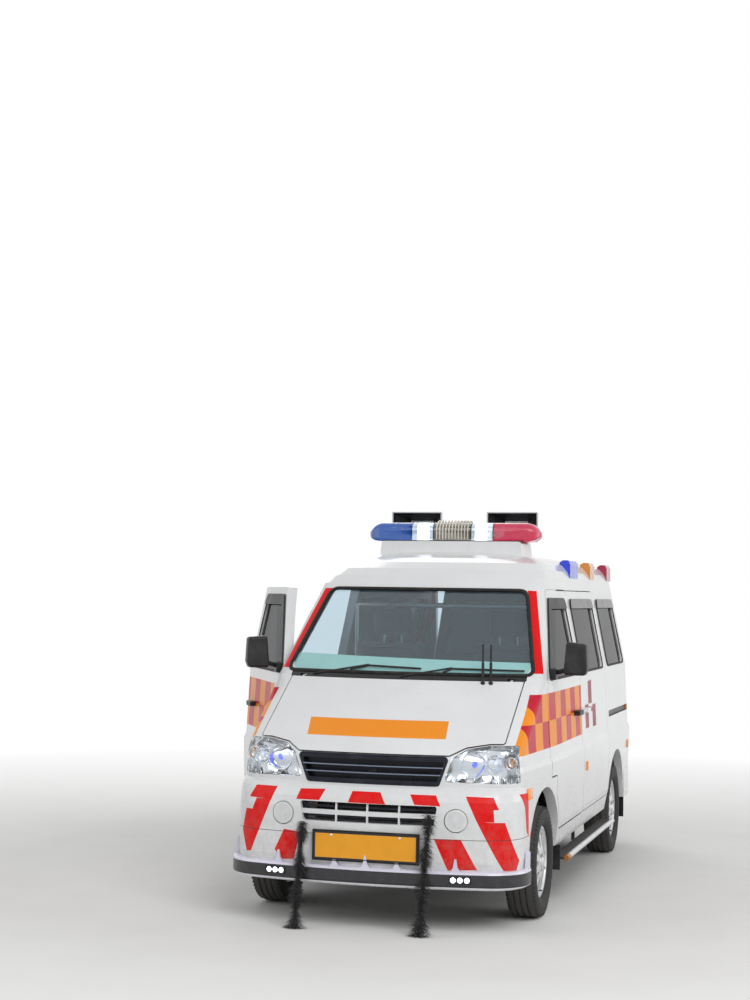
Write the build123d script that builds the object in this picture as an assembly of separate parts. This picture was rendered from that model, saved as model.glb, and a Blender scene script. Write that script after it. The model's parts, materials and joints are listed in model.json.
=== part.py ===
from build123d import *
import math
import os

# A small van fitted out as an ambulance, in millimetres.
# +X is the van's left side, the front faces -Y, +Z is up.
# The origin lies on the ground, at mid length and mid width.

# Driving dimensions
LENGTH = 3675.0
WIDTH = 1475.0
ROOF_HEIGHT = 1797.0
WHEELBASE = 2350.0
FRONT_OVERHANG = 664.0
TRACK = 1285.0
TYRE_RADIUS = 268.0
TYRE_WIDTH = 155.0
RIM_RADIUS = 172.0
ARCH_RADIUS = 335.0
ARCH_RISE = 25.0
SIDE_WALL = 50.0
FRONT_WALL = 45.0
ROOF_WALL = 34.0
GLASS = 4.0
PANEL_GAP = 6.0
SEAT_GAP = 0.3
RUNNING_FIT = 0.05
SILL_BOTTOM = 300.0
DOOR_BOTTOM = 388.0
DOOR_TOP = 1590.0
ROOF_SEAM = 1606.0
BELT_HEIGHT = 1140.0
WINDOW_TOP = 1535.0
SCREEN_BOTTOM = 1168.0
SCREEN_TOP = 1585.0
LOAD_FLOOR = 640.0
CAB_FLOOR = 440.0
DOOR_OPEN = 30.0

FRONT = -LENGTH / 2
REAR = LENGTH / 2
HALF = WIDTH / 2
FRONT_AXLE = FRONT + FRONT_OVERHANG
REAR_AXLE = FRONT_AXLE + WHEELBASE
HUB = TYRE_RADIUS
ARCH_CENTRE = HUB + ARCH_RISE


# Helpers for plain shapes

def solids_of(shape):
    return [] if shape is None else list(shape.solids())


def group(*shapes):
    pieces = []
    for shape in shapes:
        pieces.extend(solids_of(shape))
    return Compound(pieces)


def cut(shape, *tools):
    result = []
    for solid in solids_of(shape):
        pieces = [solid]
        for tool in tools:
            for blade in solids_of(tool):
                left = []
                for piece in pieces:
                    left.extend(solids_of(piece - blade))
                pieces = left
        result.extend(pieces)
    return Compound(result)


def overlap(shape, tool):
    found = []
    for solid in solids_of(shape):
        for blade in solids_of(tool):
            found.extend(solids_of(solid & blade))
    return Compound(found)


def join(*shapes):
    pieces = []
    for shape in shapes:
        pieces.extend(solids_of(shape))
    whole = pieces[0]
    for piece in pieces[1:]:
        whole = whole + piece
    return group(whole)


def block(x0, x1, y0, y1, z0, z1):
    solid = Solid.make_box(abs(x1 - x0), abs(y1 - y0), abs(z1 - z0))
    return solid.moved(Location((min(x0, x1), min(y0, y1), min(z0, z1))))


def rod(start, end, radius):
    axis = Vector(*end) - Vector(*start)
    return Solid.make_cylinder(radius, axis.length, Plane(origin=start, z_dir=axis.normalized()))


def cone_rod(start, end, radius_start, radius_end):
    axis = Vector(*end) - Vector(*start)
    return Solid.make_cone(radius_start, radius_end, axis.length, Plane(origin=start, z_dir=axis.normalized()))


def grow(points, amount):
    """Offset a counter-clockwise outline outwards by an amount."""
    count = len(points)
    grown = []
    for i in range(count):
        ax, ay = points[i - 1]
        bx, by = points[i]
        cx, cy = points[(i + 1) % count]
        ux, uy = bx - ax, by - ay
        vx, vy = cx - bx, cy - by
        ul, vl = math.hypot(ux, uy), math.hypot(vx, vy)
        nx, ny = uy / ul, -ux / ul
        mx, my = vy / vl, -vx / vl
        scale = amount / (1 + nx * mx + ny * my)
        grown.append((bx + (nx + mx) * scale, by + (ny + my) * scale))
    return grown


def flat_face(points, radius, amount, place):
    grown = grow(points, amount) if amount else points
    face = Face(Wire.make_polygon([place(a, b) for a, b in grown], close=True))
    if radius + amount > 0.5:
        face = face.fillet_2d(radius + amount, face.vertices())
    return face


def prism_x(points, x0, x1, radius=0.0, amount=0.0):
    face = flat_face(points, radius, amount, lambda a, b: Vector(x0, a, b))
    return Solid.extrude(face, Vector(x1 - x0, 0, 0))


def prism_y(points, y0, y1, radius=0.0, amount=0.0):
    face = flat_face(points, radius, amount, lambda a, b: Vector(a, y0, b))
    return Solid.extrude(face, Vector(0, y1 - y0, 0))


def prism_z(points, z0, z1, radius=0.0, amount=0.0):
    face = flat_face(points, radius, amount, lambda a, b: Vector(a, b, z0))
    return Solid.extrude(face, Vector(0, 0, z1 - z0))


def mirrored(shape):
    return group(*[solid.mirror(Plane.YZ) for solid in solids_of(shape)])


def both(shape):
    return group(shape, mirrored(shape))


def turned(shape, point, direction, angle):
    axis = Axis(point, direction)
    return group(*[solid.rotate(axis, angle) for solid in solids_of(shape)])


# Body skin: plan outlines stacked by height
# columns: height, half width, half width of the nose, nose place, bow radius of the nose,
# nose corner radius, tail place, tail corner radius

NOSE = FRONT + 67.5
TAIL = REAR - 37.5
COWL_BOW = 1703.0
LOWER_ROWS = (
    (SILL_BOTTOM, HALF - 31, HALF - 47, NOSE + 70, 2300, 120, TAIL - 20, 90),
    (420, HALF - 9.5, HALF - 37, NOSE + 70, 2300, 120, TAIL - 10, 90),
    (668, HALF - 2, HALF - 37, NOSE + 70, 2300, 120, TAIL, 90),
)
UPPER_ROWS = (
    (668, HALF - 2, HALF - 47, NOSE + 6, 2300, 200, TAIL, 90),
    (735, HALF, HALF - 47, NOSE + 2, 2300, 200, TAIL + 2, 90),
    (760, HALF - 13, HALF - 54, NOSE, 2300, 190, TAIL, 90),
    (795, HALF - 15, HALF - 57, NOSE, 2300, 180, TAIL - 1, 90),
    (818, HALF - 16, HALF - 59, NOSE + 13, 2290, 175, TAIL - 1, 90),
    (838, HALF - 17, HALF - 61, NOSE + 38, 2280, 170, TAIL - 1, 90),
    (BELT_HEIGHT, HALF - 31, HALF - 37, NOSE + 518, COWL_BOW, 75, TAIL - 4, 90),
    (ROOF_SEAM + 9, HALF - 126, HALF - 131, NOSE + 1015, 2066, 90, TAIL - 25, 100),
)
# columns: share of the roof's rise, inset of the half width, nose place, bow radius, nose corner,
# tail place, tail corner
ROOF_ROWS = (
    (0.00, 126, NOSE + 1015, 2066, 90, TAIL - 25, 100),
    (0.247, 136, NOSE + 1087, 2000, 105, TAIL - 32, 110),
    (0.467, 152, NOSE + 1161, 1900, 130, TAIL - 45, 125),
    (0.659, 181, NOSE + 1239, 1700, 160, TAIL - 70, 150),
    (0.797, 229, NOSE + 1309, 1500, 190, TAIL - 105, 180),
    (0.896, 307, NOSE + 1375, 1200, 210, TAIL - 160, 200),
    (0.962, 417, NOSE + 1437, 900, 180, TAIL - 250, 180),
    (1.00, 547, NOSE + 1495, 600, 110, TAIL - 380, 110),
)


def plan_outline(row, side, front, rear):
    z, half, half_front, nose, bow, nose_corner, tail, tail_corner = row
    wide, narrow = half - side, half_front - side
    nose, tail = nose + front, tail - rear
    shoulder = nose + bow - math.sqrt(bow * bow - narrow * narrow)
    flank = max(-900.0, nose + 450.0)
    corners = [Vector(x, y, z) for x, y in (
        (narrow, shoulder), (wide, flank), (wide, tail),
        (-wide, tail), (-wide, flank), (-narrow, shoulder))]
    edges = [Edge.make_three_point_arc(corners[5], Vector(0, nose, z), corners[0])]
    edges += [Edge.make_line(corners[i], corners[i + 1]) for i in range(5)]
    face = Face(Wire(edges))
    for place, radius in ((shoulder, nose_corner), (tail, tail_corner)):
        at = [v for v in face.vertices() if abs(v.Y - place) < 1e-3]
        face = face.fillet_2d(max(radius - side * 0.5, 18.0), at)
    return face.outer_wire()


SKINS = {}


def skin(side, front, rear, top):
    """The body's outer form, set in by an amount at the side, nose, tail and roof."""
    key = (side, front, rear, top)
    if key in SKINS:
        return SKINS[key]
    rise = ROOF_HEIGHT - ROOF_SEAM - 9 - top
    roof_rows = [
        (ROOF_SEAM + 9 + share * rise, HALF - inset, HALF - inset - 4, nose, bow, nose_corner, tail, tail_corner)
        for share, inset, nose, bow, nose_corner, tail, tail_corner in ROOF_ROWS]
    roof_side = min(side, 34.0)
    parts = []
    for rows in (LOWER_ROWS, UPPER_ROWS):
        wires = [plan_outline(row, side, front, rear) for row in rows]
        parts.append(Solid.make_loft(wires, ruled=True))
    wires = [plan_outline(row, side if row is roof_rows[0] else roof_side, front, rear) for row in roof_rows]
    parts.append(Solid.make_loft(wires, ruled=True))
    SKINS[key] = join(*parts)
    return SKINS[key]


def layer(outer, inner):
    """The part of the body's wall between two shares of its thickness."""
    shares = [skin(SIDE_WALL * s, FRONT_WALL * s, SIDE_WALL * s, ROOF_WALL * s) for s in (outer, inner)]
    return cut(shares[0], shares[1])


OUTER = skin(0, 0, 0, 0)
VISOR_PROUD = 10.0
VISOR_INNER = 600.0
VISOR_EDGE = 14.0
DOOR_VISOR_EDGE = 18.0
VISOR_LAYER = cut(skin(-VISOR_PROUD, -VISOR_PROUD, -VISOR_PROUD, -VISOR_PROUD), OUTER)
SHELL = layer(0, 1)
SKIN_LAYER = 3.0 / SIDE_WALL
GLASS_LAYER = (0.2, 0.2 + GLASS / SIDE_WALL)

# Outlines of the openings, side views as (y, z), front and rear views as (x, z)

# Front door hinges: vertical pins behind the shut line
DOOR_FRONT = FRONT_AXLE + 138
HINGE_X = 704.0
HINGE_BACK = 25.0
HINGE_Y = DOOR_FRONT + HINGE_BACK
HINGE_HEIGHTS = (715.0, 875.0)
PIN = 4.0
EYE = 6.0
HINGE_SKIN = 1.5
DOOR_GAP_FRONT = 8.0
DOOR_RABBET = 18.0
DOOR_STEP = 668.0
DOOR_STEP_BACK = 96.0
DOOR_REAR = -80.0
SLIDE_FRONT = DOOR_REAR + 6
SLIDE_REAR = REAR_AXLE - ARCH_RADIUS - 7
SLIDE_CORNER = 22.0
SLIDE_GAP = 5.0
DOOR_SIDE = (
    (DOOR_FRONT, DOOR_BOTTOM), (DOOR_REAR, DOOR_BOTTOM), (DOOR_REAR, DOOR_TOP),
    (DOOR_FRONT + 397, DOOR_TOP), (DOOR_FRONT, BELT_HEIGHT - 20))
WINDOW_CORNER = 40.0
DOOR_WINDOW_CORNER = 36.0
DOOR_WINDOW = (
    (DOOR_FRONT + 45, BELT_HEIGHT + 5), (DOOR_REAR - 75, BELT_HEIGHT + 5),
    (DOOR_REAR - 105, WINDOW_TOP), (DOOR_FRONT + 400, WINDOW_TOP))
VISOR_BOTTOM = WINDOW_TOP - 40
VISOR_CUT = (
    (DOOR_FRONT - 45, BELT_HEIGHT - 150), (DOOR_REAR + 50, BELT_HEIGHT - 150),
    (DOOR_REAR + 50, VISOR_BOTTOM), (DOOR_FRONT + 400, VISOR_BOTTOM))
SLIDE_SIDE = (
    (SLIDE_FRONT, DOOR_BOTTOM), (SLIDE_REAR, DOOR_BOTTOM), (SLIDE_REAR, DOOR_TOP), (SLIDE_FRONT, DOOR_TOP))
SLIDE_WINDOW = (
    (SLIDE_FRONT + 75, BELT_HEIGHT + 8), (SLIDE_REAR - 85, BELT_HEIGHT + 8),
    (SLIDE_REAR - 85, WINDOW_TOP), (SLIDE_FRONT + 75, WINDOW_TOP))
RAIL_GROOVE = ((SLIDE_REAR + 87, 842), (TAIL - 14, 842), (TAIL - 14, 878), (SLIDE_REAR + 87, 878))
RAIL_DEPTH = 12.0
QUARTER_WINDOW = (
    (SLIDE_REAR + 110, BELT_HEIGHT + 12), (TAIL - 190, BELT_HEIGHT + 12),
    (TAIL - 225, WINDOW_TOP), (SLIDE_REAR + 110, WINDOW_TOP))
SCREEN = ((-633, SCREEN_BOTTOM), (633, SCREEN_BOTTOM), (522, SCREEN_TOP), (-522, SCREEN_TOP))
TAILGATE_BOTTOM = 480.0
TAILGATE_TOP = ROOF_SEAM - PANEL_GAP
TAILGATE = (
    (-575, TAILGATE_BOTTOM), (575, TAILGATE_BOTTOM), (575, 1120), (500, TAILGATE_TOP),
    (-500, TAILGATE_TOP), (-575, 1120))
TAILGATE_HINGE_X = 360.0
TAILGATE_AXIS = (TAIL - 24, TAILGATE_TOP + 20)
REAR_WINDOW = ((-505, 1165), (505, 1165), (448, 1525), (-448, 1525))
GRILLE_BOTTOM = 670.0
GRILLE_TOP = 806.0
GRILLE_LOW_HALF = 322.0
GRILLE_HALF = 370.0
GRILLE_CORNER = 16.0
GRILLE_RIM = 17.0
GRILLE_SLOTS = 3
GRILLE_PITCH = (GRILLE_TOP - GRILLE_BOTTOM - 2 * GRILLE_RIM) / GRILLE_SLOTS
LAMP_OUTER = 680.0
LAMP_TOP = 858.0
LAMP_GAP = 8.0
LAMP_CORNER = 14.0
LAMP_BACK = -1545.0
GRILLE_OPENING = (
    (-GRILLE_LOW_HALF, GRILLE_BOTTOM), (GRILLE_LOW_HALF, GRILLE_BOTTOM), (GRILLE_HALF, GRILLE_TOP),
    (-GRILLE_HALF, GRILLE_TOP))
HEADLAMP = (
    (GRILLE_LOW_HALF + 20, 692), (LAMP_OUTER, 686), (LAMP_OUTER - 14, LAMP_TOP), (540, LAMP_TOP),
    (442, LAMP_TOP - 16), (GRILLE_HALF + LAMP_GAP, GRILLE_TOP - 6))
BONNET_HALF = 600.0
BONNET_REAR = NOSE + 512
BONNET_HINGE_X = 540.0
BONNET_SIDE_EDGE = BONNET_REAR + COWL_BOW - math.sqrt(COWL_BOW ** 2 - BONNET_HINGE_X ** 2)
BONNET_AXIS = (BONNET_SIDE_EDGE + 30, BELT_HEIGHT - 3)
LOWER_DUCT = ((-300, 488), (300, 488), (300, 576), (-300, 576))
BONNET_EDGE = (
    (-BONNET_HALF, LAMP_TOP + LAMP_GAP), (-540, LAMP_TOP + LAMP_GAP), (-436, LAMP_TOP - 16 + LAMP_GAP),
    (-GRILLE_HALF + 4, GRILLE_TOP + LAMP_GAP), (GRILLE_HALF - 4, GRILLE_TOP + LAMP_GAP),
    (436, LAMP_TOP - 16 + LAMP_GAP), (540, LAMP_TOP + LAMP_GAP), (BONNET_HALF, LAMP_TOP + LAMP_GAP),
    (BONNET_HALF, 1400), (-BONNET_HALF, 1400))
TAIL_LAMP_BOTTOM = 650.0
TAIL_LAMP_TOP = 905.0

ARCHES = group(*[
    rod((-HALF - 50, y, ARCH_CENTRE), (HALF + 50, y, ARCH_CENTRE), ARCH_RADIUS)
    for y in (FRONT_AXLE, REAR_AXLE)])
DOOR_ARCH_FLANGE = 40.0
DOOR_CORNER = 26.0


def door_prism(amount, x0=200.0, x1=900.0):
    """The left front door's outline, cut round the wheel arch and stepped below its hinges."""
    prism = prism_x(DOOR_SIDE, x0, x1, DOOR_CORNER, amount)
    flange = rod((x0, FRONT_AXLE, ARCH_CENTRE), (x1, FRONT_AXLE, ARCH_CENTRE),
                 ARCH_RADIUS + DOOR_ARCH_FLANGE - amount)
    reach = HINGE_Y + DOOR_STEP_BACK - amount * 1.25
    step = prism_x(((DOOR_FRONT - 80, 300), (reach, 300), (reach, DOOR_STEP - amount),
                    (DOOR_FRONT - 80, DOOR_STEP - amount)), x0, x1, 14)
    return cut(prism, flange, step)


def bonnet_prism(amount):
    """The bonnet's outline, a front view and a plan of its curved rear edge."""
    front = prism_y(BONNET_EDGE, FRONT - 100, -900, 8, amount)
    middle = BONNET_REAR + amount + COWL_BOW
    return cut(front, Solid.make_cylinder(COWL_BOW, 900, Plane(origin=(0, middle, 700))))


def door_hinge_body(z):
    """Goose-neck bracket with its pin, from the pillar's inner face."""
    plan = ((0, -EYE), (0, EYE), (-44, EYE), (-44, -66), (-18, -66), (-18, -48), (-32, -44), (-32, -EYE))
    leaf = prism_z([(HINGE_X + a, HINGE_Y + b) for a, b in plan], z - 18, z - 8)
    leaf = join(leaf, rod((HINGE_X, HINGE_Y, z - 18), (HINGE_X, HINGE_Y, z - 8), EYE))
    return join(leaf, rod((HINGE_X, HINGE_Y, z - 8), (HINGE_X, HINGE_Y, z + 8), PIN))


def door_hinge_leaf(z):
    """The door's half of a hinge, an eye on a short lug."""
    lug = join(block(HINGE_X - EYE, HINGE_X + EYE, HINGE_Y, HINGE_Y + 24, z - 7.5, z + 7.5),
               rod((HINGE_X, HINGE_Y, z - 7.5), (HINGE_X, HINGE_Y, z + 7.5), EYE))
    return cut(lug, rod((HINGE_X, HINGE_Y, z - 20), (HINGE_X, HINGE_Y, z + 20), PIN + RUNNING_FIT))


def hinge_recess(z):
    return block(HINGE_X - 90, HINGE_X + 60, DOOR_FRONT - 30, HINGE_Y + 15, z - 26, z + 26)


# Body panels

def side_left():
    wall = overlap(SHELL, block(0, HALF + 60, FRONT - 50, REAR + 50, SILL_BOTTOM - 10, ROOF_SEAM))
    front_middle = block(-10, BONNET_HALF + 12, FRONT - 50, -1000, SILL_BOTTOM - 20, SCREEN_BOTTOM)
    header = block(-10, 480, FRONT - 50, -500, SCREEN_BOTTOM - 10, ROOF_SEAM + 10)
    rear_middle = block(-10, 560, 1500, REAR + 50, SILL_BOTTOM - 20, ROOF_SEAM + 10)
    wall = cut(wall, front_middle, header, rear_middle, ARCHES)
    wall = cut(wall, prism_y(SCREEN, FRONT, -500, WINDOW_CORNER))
    wall = cut(wall, prism_y(HEADLAMP, FRONT - 50, LAMP_BACK, LAMP_CORNER))
    wall = cut(wall, bonnet_prism(PANEL_GAP))
    inner = skin(3, 3, 3, 3)
    wall = cut(wall, overlap(door_prism(DOOR_RABBET), inner), door_prism(DOOR_GAP_FRONT))
    wall = cut(wall, prism_x(SLIDE_SIDE, 200, 900, SLIDE_CORNER, SLIDE_GAP))
    wall = cut(wall, prism_x(QUARTER_WINDOW, 200, 900, WINDOW_CORNER))
    wall = cut(wall, cut(prism_x(RAIL_GROOVE, 500, 900, 4), skin(RAIL_DEPTH, 0, RAIL_DEPTH, 0)))
    wall = cut(wall, prism_y(TAILGATE, 1500, REAR + 50, 30, PANEL_GAP))
    wall = cut(wall, tail_lamp_block())
    for z in HINGE_HEIGHTS:
        wall = join(wall, door_hinge_body(z))
    return wall


def tail_lamp_block():
    return block(TAILGATE[1][0] + PANEL_GAP + 6, HALF + 60, TAIL - 78, REAR + 50, TAIL_LAMP_BOTTOM, TAIL_LAMP_TOP)


def front_panel():
    area = block(-BONNET_HALF - 12, BONNET_HALF + 12, FRONT - 50, -1000, SILL_BOTTOM - 20, SCREEN_BOTTOM)
    wall = overlap(SHELL, area)
    wall = cut(wall, ARCHES, bonnet_prism(PANEL_GAP), prism_y(GRILLE_OPENING, FRONT - 50, -1500, GRILLE_CORNER))
    lamps = both(prism_y(HEADLAMP, FRONT - 50, LAMP_BACK, LAMP_CORNER))
    wall = cut(wall, lamps, prism_y(SCREEN, FRONT, -500, WINDOW_CORNER))
    wall = cut(wall, prism_y(LOWER_DUCT, FRONT - 50, -1500, 10))
    for x in (-BONNET_HINGE_X, BONNET_HINGE_X):
        wall = cut(wall, block(x - 17, x + 17, BONNET_AXIS[0] - 75, BONNET_AXIS[0] + 26,
                               BONNET_AXIS[1] - 90, BONNET_AXIS[1] + 12))
        wall = join(wall, rod((x - 20, *BONNET_AXIS), (x + 20, *BONNET_AXIS), PIN))
    return wall


def bonnet():
    panel = overlap(layer(0, 0.55), bonnet_prism(0))
    panel = overlap(panel, block(-HALF, HALF, FRONT, -1000, 700, 1300))
    for x in (-BONNET_HINGE_X, BONNET_HINGE_X):
        y, z = BONNET_AXIS
        arm = prism_x(((y - 100, z - 54), (y - 96, z - 70), (y - 55, z - 62), (y + 5, z - 6), (y - 5, z + 6),
                       (y - 45, z - 22)), x - 6, x + 6)
        arm = join(arm, rod((x - 6, y, z), (x + 6, y, z), EYE))
        panel = join(panel, arm)
        panel = cut(panel, rod((x - 20, y, z), (x + 20, y, z), PIN + RUNNING_FIT))
    return panel


def roof():
    top = overlap(SHELL, block(-HALF, HALF, FRONT, REAR + 20, ROOF_SEAM, ROOF_HEIGHT + 20))
    header = overlap(SHELL, block(-480, 480, FRONT, -500, SCREEN_TOP - 60, ROOF_SEAM))
    header = cut(header, prism_y(SCREEN, FRONT, -500, WINDOW_CORNER))
    shell = join(top, header)
    for x in (-TAILGATE_HINGE_X, TAILGATE_HINGE_X):
        y, z = TAILGATE_AXIS
        strap = block(x - 30, x + 30, y - 14, y + 3, z - 4, z + 34)
        knuckles = [rod((x + a, y, z), (x + b, y, z), 8) for a, b in ((-30, -15), (15, 30))]
        shell = join(shell, strap, *knuckles)
        clear = block(x - 15.5, x + 15.5, y - 30, y + 20, z - 16, z + 13)
        shell = cut(shell, clear)
        shell = join(shell, rod((x - 25, y, z), (x + 25, y, z), PIN))
    return shell


def tailgate():
    gate = overlap(SHELL, prism_y(TAILGATE, 1500, REAR + 50, 30))
    gate = cut(gate, prism_y(REAR_WINDOW, 1500, REAR + 50, WINDOW_CORNER))
    for x in (-TAILGATE_HINGE_X, TAILGATE_HINGE_X):
        y, z = TAILGATE_AXIS
        strap = block(x - 15, x + 15, y - 6, y + 6, z - 50, z)
        leaf = join(strap, rod((x - 15, y, z), (x + 15, y, z), 8))
        leaf = cut(leaf, rod((x - 20, y, z), (x + 20, y, z), PIN + RUNNING_FIT))
        gate = join(gate, leaf)
    handle = prism_x(((TAIL - 12, 1050), (TAIL + 12, 1055), (TAIL + 12, 1082), (TAIL - 12, 1090)), -210, 210, 4)
    return join(gate, handle)


def front_door():
    """The left front door, closed, with its window cut and its hinge leaves."""
    door = overlap(SHELL, door_prism(0))
    door = cut(door, prism_x(DOOR_WINDOW, 200, 900, DOOR_WINDOW_CORNER))
    thin = skin(HINGE_SKIN, HINGE_SKIN, HINGE_SKIN, HINGE_SKIN)
    for z in HINGE_HEIGHTS:
        door = cut(door, overlap(hinge_recess(z), thin))
    for z in HINGE_HEIGHTS:
        door = join(door, door_hinge_leaf(z))
    return door


def door_glass():
    return overlap(layer(*GLASS_LAYER), prism_x(DOOR_WINDOW, 200, 900, DOOR_WINDOW_CORNER))


MIRROR_FOOT = (DOOR_FRONT + 95, 1176)
HANDLE_LENGTH = 130.0
HANDLE_HEIGHTS = (925.0, 950.0)


def pull_handle(start):
    handle = block(HALF - 26, HALF + 12, start, start + HANDLE_LENGTH, *HANDLE_HEIGHTS)
    return handle.fillet(8, handle.edges().filter_by(Axis.Z))


def door_trim():
    """Mirror on its arm, outer handle and rain visor of the left front door."""
    face = HALF - 30
    y, z = MIRROR_FOOT
    foot = block(face - 14, face + 22, y - 34, y + 30, z - 34, z + 22)
    foot = foot.fillet(9, foot.edges().filter_by(Axis.X))
    arm = rod((face + 10, y, z), (face + 96, y - 34, z + 22), 12)
    mirror = prism_y(((face + 66, z - 8), (face + 172, z - 8), (face + 184, z + 24), (face + 178, z + 150),
                      (face + 78, z + 158), (face + 66, z + 20)), y - 74, y - 10, 15)
    shell_edge = mirror.faces().sort_by(Axis.Y)[0].edges()
    mirror = mirror.fillet(14, shell_edge)
    handle = pull_handle(DOOR_REAR - 250)
    visor = cut(prism_x(DOOR_WINDOW, VISOR_INNER, 900, DOOR_WINDOW_CORNER, DOOR_VISOR_EDGE),
                prism_x(VISOR_CUT, 200, 900, 20), block(200, 900, DOOR_FRONT, DOOR_REAR, 1000, BELT_HEIGHT - 4))
    arm = cut(join(foot, arm, mirror), OUTER)
    return group(arm, cut(handle, OUTER), overlap(VISOR_LAYER, visor))


def sliding_door():
    door = overlap(SHELL, prism_x(SLIDE_SIDE, 200, 900, SLIDE_CORNER))
    seal = overlap(layer(0.8, 1), prism_x(SLIDE_SIDE, 200, 900, SLIDE_CORNER, SLIDE_GAP - SEAT_GAP))
    door = join(door, seal)
    door = cut(door, prism_x(SLIDE_WINDOW, 200, 900, WINDOW_CORNER))
    return join(door, pull_handle(SLIDE_FRONT + 40))


def side_glass():
    panes = layer(*GLASS_LAYER)
    slide = overlap(panes, prism_x(SLIDE_WINDOW, 200, 900, WINDOW_CORNER))
    quarter = overlap(panes, prism_x(QUARTER_WINDOW, 200, 900, WINDOW_CORNER))
    return both(group(slide, quarter))


def windscreen():
    return overlap(layer(*GLASS_LAYER), prism_y(SCREEN, FRONT, -500, WINDOW_CORNER))


def tailgate_glass():
    return overlap(layer(*GLASS_LAYER), prism_y(REAR_WINDOW, 1500, REAR + 50, WINDOW_CORNER))


# Front end

# columns: height, half width, nose place, bow radius, corner radius
BUMPER_ROWS = (
    (284, HALF - 1, FRONT + 8, 2537, 200),
    (330, HALF, FRONT, 2537, 200),
    (560, HALF, FRONT, 2537, 200),
    (606, HALF, FRONT + 8, 2520, 200),
    (640, HALF, FRONT + 24, 2500, 200),
    (660, HALF - 2, FRONT + 48, 2450, 200),
    (669, HALF - 8, FRONT + 66, 2450, 200),
)
GUARD_TOP = 296.0
GUARD_ROWS = (
    (209, HALF + 6, FRONT + 4, 2537, 190),
    (217, HALF + 20, FRONT - 14, 2537, 200),
    (222, HALF + 26, FRONT - 18, 2537, 200),
    (234, HALF + 27, FRONT - 22, 2537, 200),
    (281, HALF + 27, FRONT - 24, 2537, 200),
    (291, HALF + 25, FRONT - 20, 2537, 200),
    (GUARD_TOP, HALF + 20, FRONT - 12, 2537, 200),
)
GUARD_WALL = 60.0
BUMPER_WALL = 30.0
MOUTH_BOTTOM = 496.0
MOUTH_TOP = 586.0
MOUTH_HALF = 316.0
MOUTH_BAR = (527.0, 549.0)
MOUTH_SPLITS = (-152.0, 0.0, 152.0)
BLANK_X = 418.0
BLANK_Z = 523.0
BLANK_RADIUS = 55.0
FIN_PLACES = (-436.0, -150.0, 0.0, 150.0, 420.0)
FIN_RISE = 58.0


def nose_solid(rows, inset):
    wires = [plan_outline((z, half, half - 47, nose, bow, corner, TAIL, 60), inset, inset, 0)
             for z, half, nose, bow, corner in rows]
    return Solid.make_loft(wires, ruled=True)


def nose_loft(rows, wall):
    return cut(nose_solid(rows, 0), nose_solid(rows, wall))


def set_back(rows, distance):
    """The same rows with their nose moved back."""
    return tuple((z, half, nose + distance, bow, corner) for z, half, nose, bow, corner in rows)


def mouth_prism(amount=0.0):
    """The bumper's air inlet, wider at its top."""
    outline = ((-MOUTH_HALF, MOUTH_BOTTOM), (MOUTH_HALF, MOUTH_BOTTOM), (MOUTH_HALF + 16, MOUTH_TOP),
               (-MOUTH_HALF - 16, MOUTH_TOP))
    return prism_y(outline, FRONT - 50, -1650, 12, amount)


def front_bumper():
    """Bumper cover with a barred inlet and two round blanks."""
    shell = nose_loft(BUMPER_ROWS, BUMPER_WALL)
    behind = block(-HALF - 20, HALF + 20, FRONT_AXLE - 300, REAR + 50, 200, 700)
    shell = cut(shell, behind, ARCHES, OUTER)
    shell = cut(shell, mouth_prism())
    bars = [block(-HALF, HALF, FRONT, -1700, *MOUTH_BAR)]
    bars += [block(x - 4, x + 4, FRONT, -1700, MOUTH_BOTTOM, MOUTH_TOP) for x in MOUTH_SPLITS]
    bars = overlap(nose_loft(set_back(BUMPER_ROWS[1:4], 12), 12), join(*bars))
    shell = join(shell, overlap(bars, mouth_prism(2)))
    for x in (-BLANK_X, BLANK_X):
        ring = cut(rod((x, FRONT - 30, BLANK_Z), (x, FRONT + 52, BLANK_Z), BLANK_RADIUS),
                   rod((x, FRONT - 30, BLANK_Z), (x, FRONT + 52, BLANK_Z), BLANK_RADIUS - 4))
        shell = cut(shell, ring)
    return shell


def spike(x, nose):
    """A pointed fin standing on the guard."""
    points = ((x - 24, 0), (x + 24, 0), (x + 10, FIN_RISE * 0.35), (x + 4, FIN_RISE), (x - 4, FIN_RISE),
              (x - 10, FIN_RISE * 0.35))
    return prism_y([(a, GUARD_TOP - 4 + b) for a, b in points], nose, nose + 12)


def front_guard():
    """Guard lip below the bumper, with its row of fins."""
    shell = nose_loft(GUARD_ROWS, GUARD_WALL)
    behind = block(-HALF - 60, HALF + 60, FRONT_AXLE - 395, REAR + 50, 100, 700)
    bow = GUARD_ROWS[-1][3]
    fins = []
    for x in FIN_PLACES:
        fins.append(spike(x, GUARD_ROWS[-1][2] + bow - math.sqrt(bow * bow - x * x)))
    for s in (-1, 1):
        points = ((-1610, GUARD_TOP - 6), (-1572, GUARD_TOP - 6), (-1572, GUARD_TOP + 72), (-1582, GUARD_TOP + 76))
        fins.append(prism_x(points, s * (HALF - 34), s * (HALF - 14)))
    return cut(join(shell, *fins), behind, ARCHES, nose_solid(BUMPER_ROWS, 0))


def rear_bumper():
    rows = ((300, 18), (330, 4), (440, 0), (476, 10))
    outer = [plan_outline((z, HALF - 6, HALF - 47, NOSE, 2300, 100, REAR - back, 120), 0, 0, 0) for z, back in rows]
    inner = [plan_outline((z, HALF - 6, HALF - 47, NOSE, 2300, 100, REAR - back, 120), 30, 0, 30) for z, back in rows]
    shell = cut(Solid.make_loft(outer, ruled=True), Solid.make_loft(inner, ruled=True))
    ahead = block(-HALF - 20, HALF + 20, FRONT - 50, REAR_AXLE + 330, 200, 700)
    return cut(shell, ahead, ARCHES, OUTER)


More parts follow.
